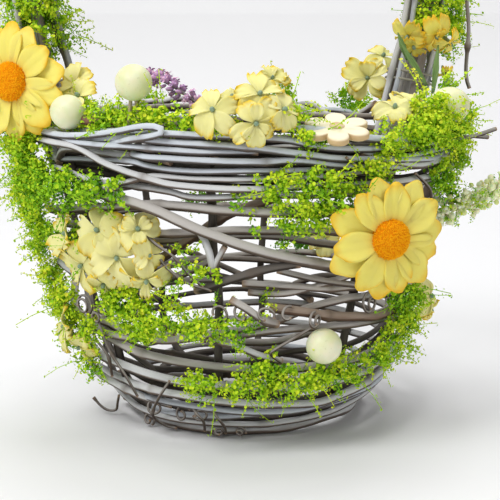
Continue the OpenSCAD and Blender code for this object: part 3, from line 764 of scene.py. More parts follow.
def arch_line(node, waver=0.0):
    """Points along a handle rod, from the end of its left leg to the end of its right one."""
    middle, bend, arch_z, low_z = arch(node)[:4]
    points = []
    for side in (-1, 1):
        foot_z = arch_z - bend * math.sin(lean)
        foot_x = bend * math.cos(lean)
        leg = [(side * (foot_x - (foot_z - z) * math.tan(lean)), z) for z in np.linspace(low_z, foot_z, 6)]
        points.append(leg)
    turn = [(bend * math.cos(a), arch_z + bend * math.sin(a))
            for a in np.linspace(math.pi + lean, -lean, 16)[1:-1]]
    flat_line = points[0] + turn + points[1][::-1]
    return [middle + across * x + Vector((0, 0, z)) + sideways * rng.uniform(-waver, waver) * MM
            + across * rng.uniform(-waver, waver) * MM for x, z in flat_line]


# The look's rods are this share of the CAD's thickness, because thin shoots run beside them.
SEEN_ROD = 0.72
for i in range(5):
    name = "handle_rod_%d" % (i + 1)
    radius = arch(name)[4] / MM
    vine(name, [smooth_line(arch_line(name, 1.0), 6)], radius * SEEN_ROD, grey_bark if i % 2 else limed_bark,
         name, slot="grey_vine", waver=1.2, tone=0.35 + 0.1 * i)
print("handle radius in mm:", round(arch("handle_rod_1")[1] / MM))

# %% Thin shoots that run beside the legs
def beside(side, out, front, low, high):
    """Part of the handle's line, moved sideways: low and high are heights in mm."""
    line = [p for p in arch_line("handle_rod_1") if p.dot(across) * side > 0 and low < p.z / MM < high]
    line = sorted(line, key=lambda p: p.z)
    return smooth_line([p + (across * side * out + Vector((0, -front, 0))) * MM for p in line], 6)


# Rows of side, mm outwards and to the front, lowest and highest mm, and thickness.
shoots = ((1, -11, 4, 128, 262, 1.5), (1, -7, 7, 128, 240, 1.3), (1, 8, 5, 128, 250, 1.4),
          (1, 11, 0, 128, 215, 1.2), (1, -4, -9, 128, 245, 1.4), (-1, -10, 4, 128, 250, 1.4),
          (-1, 8, 5, 128, 240, 1.3))
for i, (side, out, front, low, high, thick) in enumerate(shoots):
    vine("leg_shoot_%d" % (i + 1), [beside(side, out, front, low, high)], thick,
         silver_bark if i % 2 else limed_bark, slot="grey_vine", waver=1.2, tone=rng.uniform(0.3, 0.9))
print("shoots beside the legs:", len(shoots))

# %% [markdown]
# ## Building small shapes from grids
# Petals, leaves, beads and buds are grids of points that a short formula bends. `Shape` collects
# grids in one mesh, and stores three values at each point that the finishes read: how far along
# the petal it is, how far across, and a random shade for the whole petal.

# %% A mesh made of bent grids
class Shape:
    def __init__(self):
        self.points = []
        self.faces = []
        self.values = {"along": [], "across": [], "shade": []}

    def grid(self, spots, along, across, shade, wrap=False, caps=False):
        """spots is rows by columns by 3; along and across are rows by columns."""
        rows, columns = spots.shape[:2]
        start = len(self.points)
        self.points += [tuple(p) for p in spots.reshape(-1, 3)]
        self.values["along"] += list(along.ravel())
        self.values["across"] += list(across.ravel())
        self.values["shade"] += [shade] * (rows * columns)
        for r in range(rows - 1):
            for c in range(columns if wrap else columns - 1):
                d = (c + 1) % columns
                a, b = start + r * columns, start + (r + 1) * columns
                self.faces.append((a + c, a + d, b + d, b + c))
        if caps:
            last = start + (rows - 1) * columns
            self.faces.append(tuple(range(start + columns - 1, start - 1, -1)))
            self.faces.append(tuple(range(last, last + columns)))

    def ball(self, centre, size, shade=0.5, rows=8, columns=12, axis=(0, 0, 1), flat=1.0):
        """A closed ball or egg: size is its radius, flat its height against its width."""
        turn = np.array(Vector(axis).to_track_quat("Z", "Y").to_matrix())
        tilt = np.linspace(0.06, math.pi - 0.06, rows)[:, None] * np.ones(columns)
        spin = np.linspace(0, 2 * math.pi, columns, endpoint=False)[None, :] * np.ones((rows, 1))
        spots = np.stack([np.sin(tilt) * np.cos(spin), np.sin(tilt) * np.sin(spin), -np.cos(tilt) * flat], -1)
        spots = spots * size @ turn.T + np.array(centre)
        self.grid(spots, tilt / math.pi, spin / math.pi - 1, shade, wrap=True, caps=True)

    def make(self, name, finish, thick=0.0):
        mesh = bpy.data.meshes.new(name)
        mesh.from_pydata(self.points, [], self.faces)
        for key, numbers in self.values.items():
            field = mesh.attributes.new(key, "FLOAT", "POINT")
            field.data.foreach_set("value", np.array(numbers, np.float32))
        mesh.materials.append(finish)
        mesh.polygons.foreach_set("use_smooth", [True] * len(mesh.polygons))
        piece = bpy.data.objects.new(name, mesh)
        bpy.context.scene.collection.objects.link(piece)
        if thick:
            solid = piece.modifiers.new("thickness", "SOLIDIFY")
            solid.thickness = thick * MM
            solid.offset = 0
            graph = bpy.context.evaluated_depsgraph_get()
            baked = bpy.data.meshes.new_from_object(piece.evaluated_get(graph), depsgraph=graph)
            piece.modifiers.clear()
            piece.data = baked
            bpy.data.meshes.remove(mesh)
            baked.name = name
        return piece


def show(piece, slot, *nodes):
    """A finished piece rides on the basket and stands for its CAD nodes."""
    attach(piece, "root")
    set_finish(piece, slot)
    if nodes:
        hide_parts(*nodes)
    return piece


# %% [markdown]
# ## Petals
# A silk petal is cut flat and then pressed: it is cupped across, droops towards its tip, and has
# creases along it. One formula does the long petals of the daisies and the short ruffled ones of
# the blossoms; the numbers below say which. Each petal gets small random changes of its own.

# %% One petal, and a flower of them
# The share of its length where a petal reaches its full width.
FULL_AT = 0.62


def petal(shape, place, length, width, root=0.35, lift=0.12, droop=0.2, cup=0.10, crease=0.35, ruffle=0.0,
          point=0.16, notch=0.0, shade=0.5, blunt=0.62, rows=12, columns=11):
    """Adds a petal that lies along the place's X, face up along its Z; sizes in mm."""
    s = np.linspace(0, 1, rows)[:, None] * np.ones(columns)
    t = np.linspace(-1, 1, columns)[None, :] * np.ones((rows, 1))
    belly = root + (1 - root) * np.sin(np.pi / 2 * np.minimum(1, s / FULL_AT)) ** 1.3
    near_tip = np.clip((s - FULL_AT) / (1 - FULL_AT), 0, 1)
    half = width / 2 * belly * np.sqrt(1 - blunt * near_tip ** 2.4)
    bite = notch * length * np.exp(-(t / 0.16) ** 2) * s ** 8
    x = length * s * (1 - point * np.abs(t) ** 2.2 * s ** 2) - bite
    y = half * t
    phase = rng.uniform(0, 6.28)
    z = length * (lift * s - droop * s ** 2) + cup * width * t ** 2 * np.sin(np.pi * np.clip(s, 0, 0.9))
    z = z + crease * np.cos(3 * np.pi * t) * np.sin(np.pi * s) * (1 - t ** 2)
    z = z + ruffle * np.sin(2.6 * np.pi * t + phase) * s ** 4
    spots = np.stack([x, y, z], -1) * MM
    matrix = np.array(place)
    spots = spots @ matrix[:3, :3].T + matrix[:3, 3]
    shape.grid(spots, s, t, shade)


def facing(centre, towards, spin=0.0):
    """A place at a point, with its Z towards a direction and turned about it by spin degrees."""
    turn = Vector(towards).to_track_quat("Z", "Y").to_matrix().to_4x4()
    return Matrix.Translation(centre) @ turn @ Matrix.Rotation(math.radians(spin), 4, "Z")


def flower(shape, place, count, length, width, start=0.0, back=0.0, spread=8, vary=0.08, lift=0.12,
           droop=0.2, **more):
    """A ring of petals round a place; start is how far from the middle they begin."""
    for i in range(count):
        turn = 360 / count * i + rng.uniform(-spread, spread) / 2
        leaf = place @ Matrix.Rotation(math.radians(turn), 4, "Z")
        leaf = leaf @ Matrix.Translation((start * MM, 0, -back * MM))
        leaf = leaf @ Matrix.Rotation(math.radians(rng.uniform(-spread, spread)), 4, "X")
        scale = rng.uniform(1 - vary, 1 + vary)
        petal(shape, leaf, length * scale, width * rng.uniform(1 - vary, 1 + vary),
              lift=lift + rng.uniform(-0.08, 0.08), droop=droop + rng.uniform(-0.08, 0.1),
              shade=rng.random(), **more)


# %% Silk and felt finishes
def silk_finish(name, body, deep, edge, reach):
    """Silk cloth: deep towards the root, and dyed at its tip and edges."""
    f = Finish(name)
    along = f.attribute("along")
    across = f.attribute("across")
    shade = f.attribute("shade")
    blotch = f.noise(f.scaled(f.place(), (160, 160, 160)), 1.0, 3.0)
    rim = across * across
    dye = along ** 3.0 * 0.75 + rim * rim * along * 0.45 + blotch * 0.5 - 0.25 + shade * 0.22
    colour = f.mix(dye.between(reach, 1.0), body, edge)
    colour = f.mix((1 - along).between(0.55, 1.0) * 0.7, colour, deep)
    colour = f.shade(shade * 0.4, colour, (0.84, 0.82, 0.5))
    vein = f.noise(f.scaled(f.place(), (900, 900, 900)), 1.0, 2.0)
    weave = f.noise(f.scaled(f.place(), (4000, 4000, 4000)), 1.0, 1.0)
    return f.surface(Base_Color=colour, Roughness=0.75, Subsurface_Weight=0.25,
                     Subsurface_Radius=(0.9, 0.8, 0.3), Subsurface_Scale=0.002, Specular_IOR_Level=0.25,
                     Normal=f.bump(vein * 0.6 + weave * 0.5, 0.4, 0.0003))


daisy_silk = silk_finish("daisy_silk", (0.95, 0.82, 0.19), (0.92, 0.62, 0.08), (0.94, 0.52, 0.02), 0.40)
blossom_silk = silk_finish("blossom_silk", (0.90, 0.84, 0.36), (0.80, 0.75, 0.32), (0.93, 0.62, 0.04), 0.46)

# %% Flock, leaf and heart finishes
f = Finish("flock")
grain = f.noise(f.scaled(f.place(), (500, 500, 500)), 1.0, 2.0)
shade = f.attribute("shade")
orange = f.ramp(shade * 0.7 + grain * 0.4, [(0.2, (0.66, 0.17, 0.003)), (0.5, (0.93, 0.35, 0.003)),
                                           (0.9, (1.0, 0.54, 0.01))])
flock = f.surface(Base_Color=orange, Roughness=0.95, Specular_IOR_Level=0.1)

f = Finish("leaf_silk")
tone = f.noise(f.scaled(f.place(), (120, 120, 120)), 1.0, 2.0)
green = f.mix(tone, (0.10, 0.20, 0.05), (0.26, 0.40, 0.12))
leaf_silk = f.surface(Base_Color=green, Roughness=0.6, Subsurface_Weight=0.1, Subsurface_Scale=0.001)

f = Finish("heart")
tone = f.noise(f.scaled(f.place(), (700, 700, 700)), 1.0, 2.0)
heart_green = f.surface(Base_Color=f.mix(tone, (0.12, 0.22, 0.15), (0.36, 0.46, 0.32)), Roughness=0.8)
print("materials so far:", len(bpy.data.materials))


# %% [markdown]
# ## Sprouting small things
# Moss, flock, berries and lavender are many copies of a few tiny shapes. Python picks the places,
# with a fixed seed, and stores at each point its direction, size, shade and kind. A Geometry
# Nodes tree puts a copy of the chosen shape on each point. Placing thousands of objects by hand
# would be slow; here one piece of moss is one mesh.

# %% The sprout tree
def make_sprout_tree():
    t = Tree("sprout", {"Shapes": ("NodeSocketCollection", None), "Seed": (WHOLE, 0),
                        "Finish": (PAINT, None)})
    shapes = t.add("GeometryNodeCollectionInfo", {},
                   {"Collection": t.value("Shapes"), "Separate Children": True,
                    "Reset Children": True}).outputs[0]
    named = {k: t.add("GeometryNodeInputNamedAttribute", {"data_type": kind}, {"Name": k}).outputs[0]
             for k, kind in (("towards", "FLOAT_VECTOR"), ("size", "FLOAT"), ("kind", "INT"))}
    face = t.add("FunctionNodeAlignRotationToVector", {"axis": "Z"}, {"Vector": named["towards"]}).outputs[0]
    twist = t.add("FunctionNodeRandomValue", {"data_type": "FLOAT"},
                  {2: 0.0, 3: 2 * math.pi, "Seed": t.value("Seed")}).outputs[1]
    spin = t.add("FunctionNodeAxisAngleToRotation", {}, {"Axis": (0, 0, 1), "Angle": twist}).outputs[0]
    turn = t.add("FunctionNodeRotateRotation", {"rotation_space": "LOCAL"},
                 {"Rotation": face, "Rotate By": spin}).outputs[0]
    copies = t.add("GeometryNodeInstanceOnPoints", {},
                   {"Points": t.start.outputs[0], "Instance": shapes, "Pick Instance": True,
                    "Instance Index": named["kind"], "Rotation": turn, "Scale": named["size"]}).outputs[0]
    return t.finish(copies)


sprout_tree = make_sprout_tree()
print("nodes in the sprout tree:", len(sprout_tree.nodes))

# %% Boxes of small shapes, and sprouting them
shape_boxes = []


def shape_set(name, shapes):
    """A collection of the small shapes that a sprout picks from."""
    box = bpy.data.collections.new(name)
    for i, shape in enumerate(shapes):
        piece = shape.make("%s_%02d" % (name, i), None)
        bpy.context.scene.collection.objects.unlink(piece)
        box.objects.link(piece)
    shape_boxes.append(box)
    return box


def sprout(name, spots, box, finish, slot, *nodes):
    """spots is a list of (point, direction, size, shade, kind)."""
    mesh = bpy.data.meshes.new(name + "_spots")
    mesh.from_pydata([tuple(s[0]) for s in spots], [], [])
    fields = (("towards", "FLOAT_VECTOR", "vector", 1), ("size", "FLOAT", "value", 2),
              ("tuft", "FLOAT", "value", 3), ("kind", "INT", "value", 4))
    for key, kind, target, index in fields:
        field = mesh.attributes.new(key, kind, "POINT")
        field.data.foreach_set(target, np.array([s[index] for s in spots]).ravel())
    carrier = bpy.data.objects.new(name + "_spots", mesh)
    bpy.context.scene.collection.objects.link(carrier)
    piece = grow(carrier, sprout_tree, name, Shapes=box, Seed=rng.randrange(1000), Finish=finish)
    bpy.data.meshes.remove(mesh)
    return show(piece, slot, *nodes)


# %% [markdown]
# ## Moss
# The moss is dried and dyed: fine stems with round leaflets no larger than a pin's head. A sprig
# has a dozen of them. A mat of noise would look like felt, so real sprigs are used. They crowd
# into tufts, pale at their tips, with a few thin strands past the edge. Inside a tuft the sprigs
# are darker and on its top lighter: painted shade and light.

# %% Moss sprigs
def leaflet(shape, centre, towards, size, tip):
    """A round cupped leaflet of six triangles."""
    place = facing(centre, towards, rng.uniform(0, 360))
    start = len(shape.points)
    shape.points.append(tuple(place @ Vector((0, 0, -0.35 * size))))
    for k in range(6):
        a = math.pi / 3 * k
        reach = size * rng.uniform(0.85, 1.15)
        shape.points.append(tuple(place @ Vector((reach * math.cos(a), reach * math.sin(a), 0.12 * size))))
    shape.faces += [(start, start + 1 + k, start + 1 + (k + 1) % 6) for k in range(6)]
    shape.values["along"] += [tip - 0.15] + [tip] * 6
    shape.values["across"] += [0.0] * 7
    shape.values["shade"] += [rng.random()] * 7


def sprig(length, leaves, spread, leaf_size, bend):
    """A bent stem with leaflets round it, growing along Z; sizes in mm."""
    shape = Shape()
    lean_to = rng.uniform(0, 6.28)

    def stem(s):
        return Vector((math.cos(lean_to) * bend * s * s, math.sin(lean_to) * bend * s * s, length * s)) * MM

    rings = np.array([[stem(s) + Vector((math.cos(a), math.sin(a), 0)) * 0.22 * MM for a in (0, 2.09, 4.19)]
                      for s in (0, 0.34, 0.67, 1)])
    level = np.linspace(0.3, 0.8, 4)[:, None] * np.ones(3)
    shape.grid(rings, level, level * 0, 0.5, wrap=True, caps=True)
    for i in range(leaves):
        s = 0.15 + 0.85 * (i + rng.random() * 0.6) / leaves
        a = 2.4 * i + rng.uniform(-0.5, 0.5)
        out = Vector((math.cos(a), math.sin(a), rng.uniform(0.2, 0.9))).normalized()
        centre = stem(s) + out * spread * rng.uniform(0.5, 1.2) * MM
        leaflet(shape, centre, out + Vector((0, 0, 0.5)), leaf_size * rng.uniform(0.7, 1.2) * MM,
                0.35 + 0.65 * s)
    return shape


# Rows of length, leaflets, spread, leaflet size and bend; the last two are the long strays.
sprig_rows = ((7, 13, 1.5, 0.72, 1.5), (8, 15, 1.9, 0.64, 2.5), (6, 12, 1.4, 0.85, 1.0),
              (9, 13, 2.1, 0.70, 3.5), (15, 13, 1.2, 0.66, 6), (19, 13, 1.2, 0.58, 9))
moss_shapes = shape_set("moss_shapes", [sprig(*row) for row in sprig_rows])

f = Finish("moss")
tip = f.attribute("along")
shade = f.attribute("shade")
tuft_tone = f.attribute("tuft")
# The tuft value holds each sprig's painted shade and light, and the tuft's tone.
level = tip * 0.38 + shade * 0.22 + tuft_tone * 0.55 - 0.06
green = f.ramp(level, [(0.0, (0.012, 0.06, 0.003)), (0.26, (0.06, 0.25, 0.005)),
                       (0.46, (0.24, 0.54, 0.006)), (0.66, (0.50, 0.74, 0.010)),
                       (0.88, (0.74, 0.82, 0.03)), (1.0, (0.85, 0.80, 0.08))])
moss_green = f.surface(Base_Color=green, Roughness=0.6, Subsurface_Weight=0.15,
                       Subsurface_Radius=(0.5, 1, 0.1), Subsurface_Scale=0.0008, Specular_IOR_Level=0.3)

# %% Tufts of moss
# The share of sprigs that stick out, and how fine the lumps of a tuft are.
STRAYS = 0.09
LUMP_SCALE = 60


def tuft_at(centre, out, wide, tall, deep, thickness=0.215, tone=0.0, whole=False):
    """Spots for one tuft: an egg of sprigs about a point, in mm; a whole one also grows inwards."""
    out = Vector(out).normalized()
    side = Vector((0, 0, 1)).cross(out).normalized()
    up = out.cross(side)
    area = (wide * tall + wide * deep + tall * deep) / 2.2
    spots = []
    for _ in range(int(area * thickness)):
        u = Vector([rng.gauss(0, 1) for _ in range(3)]).normalized()
        reach = 0.45 + 0.55 * rng.random() ** 0.6
        stray = rng.random() < STRAYS
        if stray:
            reach *= rng.uniform(1.0, 1.25)
        lump = 0.78 + 0.45 * noise.noise(Vector(centre) * LUMP_SCALE + u * 1.6)
        if not whole and u.z < -0.25:
            u.z = -u.z
        w = u * reach * lump
        spot = Vector(centre) + (side * w.x * wide / 2 + up * w.y * tall / 2 + out * w.z * deep) * MM
        grow_to = side * w.x + up * (w.y - 0.12) + out * (w.z + (0.0 if whole else 0.45))
        grow_to = grow_to.normalized() + Vector([rng.gauss(0, 0.42) for _ in range(3)])
        # Painted shade and light: sprigs deep in the tuft are darker, those on its top lighter; the tone and
        # the random part vary the moss itself.
        shade = 0.20 + 0.65 * (reach - 0.4) + 0.14 * u.y + tone + rng.uniform(-0.12, 0.12)
        kind = rng.choice((4, 5)) if stray else rng.randrange(4)
        spots.append((spot, grow_to.normalized(), rng.uniform(0.7, 1.15), shade, kind))
    return spots


def moss(name, tufts, node=None):
    """tufts: rows of bearing, height, proud, width, height and depth of the tuft, and its tone."""
    spots = []
    for bearing, height, proud, wide, tall, deep, tone in tufts:
        spots += tuft_at(on_wall(bearing, height, proud), outward(bearing), wide, tall, deep, tone=tone)
    return sprout(name, spots, moss_shapes, moss_green, "moss", *([node] if node else []))


# %% Moss on the rim and the wall
moss("moss_rim_left", [(-80, 136, 0, 24, 26, 12, 0.0), (-62, 134, 2, 22, 26, 12, 0.05),
                       (-72, 116, 4, 26, 20, 10, 0.05), (-56, 118, 4, 22, 22, 10, -0.1),
                       (-84, 106, 6, 20, 14, 10, 0.15), (-66, 103, 6, 20, 16, 9, 0.1),
                       (-46, 119, 4, 24, 13, 8, -0.15), (-34, 119, 3, 20, 12, 7, -0.15)], "moss_rim_left")
moss("moss_rim_right", [(38, 139, -3, 16, 11, 9, 0.1), (46, 142, 0, 22, 14, 11, 0.05),
                        (58, 142, 0, 22, 14, 11, 0.05), (50, 146, -2, 24, 14, 12, 0.15),
                        (64, 145, -4, 22, 14, 11, 0.15), (70, 133, 0, 13, 18, 7, 0.05),
                        (64, 115, 2, 13, 15, 6, -0.05), (76, 127, 0, 11, 16, 7, 0.1),
                        (57, 122, 2, 12, 11, 6, -0.1), (52, 153, -4, 17, 12, 10, 0.15),
                        (74, 158, -9, 8, 15, 6, 0.1), (63, 149, 2, 13, 8, 6, 0.1)], "moss_rim_right")
moss("moss_rim_front", [(-62, 150, -6, 18, 9, 8, 0.05), (-48, 149, -10, 18, 9, 8, 0.05),
                        (-36, 148, -12, 26, 11, 9, 0.05), (-24, 149, -12, 24, 11, 9, 0.05),
                        (-14, 149, -9, 16, 8, 7, 0.05), (-5, 149, -8, 14, 8, 7, 0.1),
                        (12, 150, -7, 16, 10, 8, 0.1), (16, 143, -2, 10, 8, 6, 0.05)], "moss_rim_front")
moss("moss_wall_left", [(-72, 91, 5, 16, 12, 7, 0.05), (-82, 82, 6, 16, 9, 8, 0.2),
                        (-70, 71, 6, 20, 11, 8, 0.2), (-62, 62, 5, 16, 14, 7, 0.15),
                        (-72, 55, 5, 14, 14, 7, 0.15), (-64, 45, 5, 16, 16, 7, 0.05),
                        (-58, 34, 3, 11, 14, 6, 0.1), (-50, 52, 5, 12, 10, 6, 0.1),
                        (-44, 93, 3, 16, 16, 6, -0.1), (-56, 95, 3, 18, 14, 7, -0.1)], "moss_wall_left")
moss("moss_wall_front", [(-34, 70, 4, 22, 18, 8, 0.05), (-24, 64, 5, 24, 15, 8, 0.1),
                         (-12, 60, 5, 22, 12, 7, 0.0), (-1, 60, 4, 18, 9, 6, -0.1),
                         (-30, 58, 4, 22, 12, 7, 0.0), (-12, 33, 5, 22, 8, 7, 0.05),
                         (2, 32, 5, 24, 9, 7, 0.1), (16, 33, 5, 24, 11, 8, 0.1),
                         (30, 36, 5, 24, 13, 8, 0.05), (8, 40, 2, 22, 8, 6, -0.1)], "moss_wall_front")
moss("moss_wall_right", [(44, 42, 4, 14, 9, 6, 0.05), (50, 48, 5, 12, 12, 7, 0.1),
                         (54, 56, 5, 12, 12, 7, 0.0), (58, 65, 4, 12, 12, 7, -0.05),
                         (50, 68, 4, 12, 10, 6, -0.1), (46, 76, 2, 10, 9, 5, -0.15),
                         (60, 50, 4, 9, 8, 6, 0.15), (62, 38, 5, 8, 6, 5, 0.2),
                         (52, 36, 4, 9, 6, 5, 0.1)], "moss_wall_right")
moss("moss_specks", [(-14, 90, 3, 5, 9, 3, 0.0), (-9, 85, 3, 6, 6, 3, 0.05), (-18, 79, 3, 8, 6, 4, 0.05),
                     (-6, 79, 3, 4, 5, 3, 0.0), (4, 70, 2, 5, 3, 3, 0.0), (-2, 115, 2, 6, 4, 3, -0.05),
                     (2, 104, 2, 4, 4, 3, 0.0), (-78, 62, 4, 8, 8, 4, 0.2), (-88, 70, 2, 8, 8, 4, 0.2)])
moss("moss_drape", [(7, 124, 3, 15, 9, 6, 0.05), (17, 125, 4, 20, 8, 7, 0.0), (12, 116, 4, 18, 9, 6, 0.1),
                    (22, 117, 4, 16, 9, 7, -0.05), (11, 107, 4, 12, 8, 5, -0.05), (19, 108, 4, 14, 8, 5, 0.1),
                    (31, 128, 3, 18, 8, 7, 0.1), (26, 119, 3, 8, 10, 4, -0.1)])
moss("moss_far", [(160, 66, -4, 26, 16, 8, -0.1), (-165, 90, -4, 20, 10, 7, -0.1),
                  (176, 106, -4, 16, 8, 6, 0.0), (168, 149, -4, 18, 8, 7, 0.15),
                  (145, 146, -4, 24, 12, 9, 0.0), (132, 142, -2, 20, 12, 9, 0.1),
                  (-150, 142, -3, 24, 14, 9, 0.0), (-128, 138, 0, 26, 20, 10, 0.1),
                  (106, 138, 0, 26, 22, 11, 0.0)])

# %% Moss on the handle's legs
# On the right leg the moss sits further out, and starts higher to leave the rods bare.
RIGHT_MOSS_OUT = 7
RIGHT_LEG_BARE = 0.014
for side, name in ((-1, "moss_handle_left"), (1, "moss_handle_right")):
    low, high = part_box(name)
    line = [p for p in arch_line("handle_rod_1") if p.dot(across) * side > 0 and low.z < p.z < high.z]
    line = smooth_line(sorted(line, key=lambda p: p.z), 3)
    spots = []
    for p in line[::2]:
        place = p + across * side * (RIGHT_MOSS_OUT if side > 0 else 0) * MM
        if side < 0 or p.z > low.z + RIGHT_LEG_BARE:
            spots += tuft_at(place, across * side, 36, 30, 15, 0.20, 0.05, whole=True)
    sprout(name, spots, moss_shapes, moss_green, "moss", name)


def faces_in(slot):
    """Faces of all the pieces in a slot so far."""
    return sum(len(o.data.polygons) for o in bpy.data.objects if o.get("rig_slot") == slot)


print("moss, in faces:", faces_in("moss"))

# %% [markdown]
# ## Daisies
# Two big daisies set the colours. Each has two rows of long petals, the upper row a little
# shorter, and a flocked dome. The place comes from the CAD centre, and the tilt from the flat CAD
# petals.

# %% The two daisies
def flat_place(node):
    """The middle of a flat CAD piece and the direction it faces, towards the front."""
    spots = np.array([v.co for v in frame["nodes"][node].data.vertices])
    middle = (spots.max(0) + spots.min(0)) / 2
    normal = Vector(np.linalg.svd(spots - spots.mean(0), full_matrices=False)[2][2])
    return Vector(middle), normal * (-1 if normal.y > 0 else 1)


# %% Fuzz for the centres
# The turn from one seed of a flower head to the next, in radians.
GOLDEN_TURN = 2.39996


def grains(centre, normal, radius, tall, count, size):
    """Spots for the fuzz of a dome, spread evenly over the dome's own shape."""
    place = facing(centre, normal)
    spots = []
    for i in range(count):
        share = math.sqrt((i + 0.5) / count)
        a = GOLDEN_TURN * i
        x, y = radius * share * math.cos(a), radius * share * math.sin(a)
        z = tall * math.sqrt(max(0.0, 1 - share ** 2.6))
        point = place @ Vector((x * MM, y * MM, z * MM))
        away = (point - place @ Vector((0, 0, -radius * MM * 0.6))).normalized()
        spots.append((point, away, size * rng.uniform(0.7, 1.3), rng.random(), rng.randrange(2)))
    return spots


seed_ball = Shape()
seed_ball.ball((0, 0, 0), 0.36 * MM, 0.35, 4, 5)
seed_long = Shape()
seed_long.ball((0, 0, 0.2 * MM), 0.30 * MM, 0.8, 4, 5, flat=1.8)
seed_shapes = shape_set("seed_shapes", [seed_ball, seed_long])

# %% One daisy, made twice
f = Finish("leaf_paint")
leaf_paint = f.surface(Base_Color=(0.26, 0.40, 0.08, 1), Roughness=0.6)
DOME_RADIUS = 8.4


def daisy(side, spin):
    """Petals, stalk, dome and fuzz of one daisy."""
    normal = flat_place("daisy_%s_petals" % side)[1]
    low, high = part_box("daisy_%s_centre" % side)
    middle = (low + high) / 2
    place = facing(middle - normal * 2.4 * MM, normal, spin)
    petals = Shape()
    flower(petals, place, 7, 22.5, 14.5, start=4, back=0.9, spread=7, lift=0.10, droop=0.16, crease=0.28)
    flower(petals, place @ Matrix.Rotation(math.pi / 7, 4, "Z"), 7, 21.5, 13.5, start=4, spread=8,
           lift=0.18, droop=0.24, crease=0.28, ruffle=0.4)
    stalk = [middle - normal * d * MM for d in (3, 6, 10, 13)]
    show(petals.make("daisy_%s_petals" % side, daisy_silk, 0.35), "daisy_silk", "daisy_%s_petals" % side)
    vine("daisy_%s_stalk" % side, [stalk], 1.1, leaf_paint, slot="daisy_silk", waver=0.1, knots=0, step=1.5)
    dome = Shape()
    dome.ball(middle - normal * 2.2 * MM, DOME_RADIUS * MM, 0.3, 14, 28, axis=normal, flat=0.62)
    show(dome.make("daisy_%s_centre" % side, flock), "flock", "daisy_%s_centre" % side)
    fuzz = grains(middle - normal * 2.0 * MM, normal, DOME_RADIUS, 5.2, 1700, 1.0)
    sprout("daisy_%s_fuzz" % side, fuzz, seed_shapes, flock, "flock")


daisy("left", 12)
daisy("right", 4)
print("flock, in faces:", faces_in("flock"))

# %% [markdown]
# ## Blossoms
# The small blossoms are cut as one star of cloth with four or five ruffled petals, some with a
# second smaller star, and a grey-green bead holds them. They nod in all directions, so each has
# its own direction, given one by one where the front shows it.

# %% Silk blossoms
HEART = 1.1
hearts = Shape()


def blossoms(name, rows, node=None, finish=blossom_silk):
    """rows: place, direction and size of each blossom, in mm."""
    shape = Shape()
    for point, towards, radius in rows:
        place = facing(point, towards, rng.uniform(0, 72))
        flower(shape, place, rng.choice((4, 5, 5)), radius, radius * 0.95, start=0.4, spread=22, vary=0.2,
               root=0.16, lift=rng.uniform(0.2, 0.7), droop=rng.uniform(0.2, 0.9), cup=0.12, crease=0.1,
               ruffle=radius * 0.13, point=0.05, notch=0.07, blunt=0.4, rows=10, columns=11)
        if rng.random() < 0.4:
            flower(shape, place @ Matrix.Rotation(0.6, 4, "Z"), 3, radius * 0.7, radius * 0.6, start=0.4,
                   spread=30, vary=0.2, root=0.2, lift=0.9, droop=0.5, cup=0.2, crease=0.2,
                   ruffle=radius * 0.12, point=0.05, blunt=0.4, rows=8, columns=9)
        hearts.ball(place @ Vector((0, 0, 1.2 * MM)), HEART * MM, rng.random(), 6, 8, axis=towards, flat=1.3)
        hearts.ball(place @ Vector((0, 0, -1.6 * MM)), 1.0 * MM, rng.random(), 6, 8, axis=towards, flat=2.4)
    return show(shape.make(name, finish, 0.22), "blossom_silk", *([node] if node else []))


def wall_spot(bearing, height, proud, face, lift, size):
    """A blossom on the wall: its place, the bearing and lift that it faces, and its size in mm."""
    return on_wall(bearing, height, proud), outward(face, lift), size


# %% Blossoms on the wall and the rim
# Rows of bearing, height, proud, the bearing and lift that it faces, and size.
wall_flowers = ((-36, 101, 11, -30, 25, 11), (-25, 103, 9, 0, 30, 10), (-31, 90, 12, -10, -5, 12),
                (-43, 84, 13, -40, -10, 11), (-24, 81, 11, 0, -35, 10), (-48, 97, 11, -60, 10, 9),
                (-37, 77, 12, -20, -50, 9), (-23, 92, 9, 20, 5, 8), (-61, 49, 13, -70, 0, 11),
                (-58, 40, 10, -60, -40, 9), (66, 62, 12, 60, 10, 8), (70, 54, 12, 80, -20, 7))
rim_flowers = ((-6, 154, 4, -15, 25, 9.5), (3, 149, 7, 10, 0, 9.5), (4, 160, 0, 15, 35, 10),
               (-2, 158, -4, -10, 60, 8), (9, 154, 3, 40, 20, 8), (-47, 157, -8, -40, 40, 9),
               (-54, 161, -14, -20, 20, 9), (-66, 154, -6, -60, 40, 8))
blossoms("blossoms_wall", [wall_spot(*row) for row in wall_flowers], "blossoms_wall")
blossoms("blossoms_rim", [wall_spot(*row) for row in rim_flowers], "blossoms_rim")

# %% [markdown]
# ## Flowers at the handle's foot
# Silk blossoms with long green sepals are pushed between the rods of the right leg, and pale
# cream petals lie in the moss below them. They are the only silk leaves on the basket. A few
# more blossoms stand at the far side, where they show over the rim and through the weave.

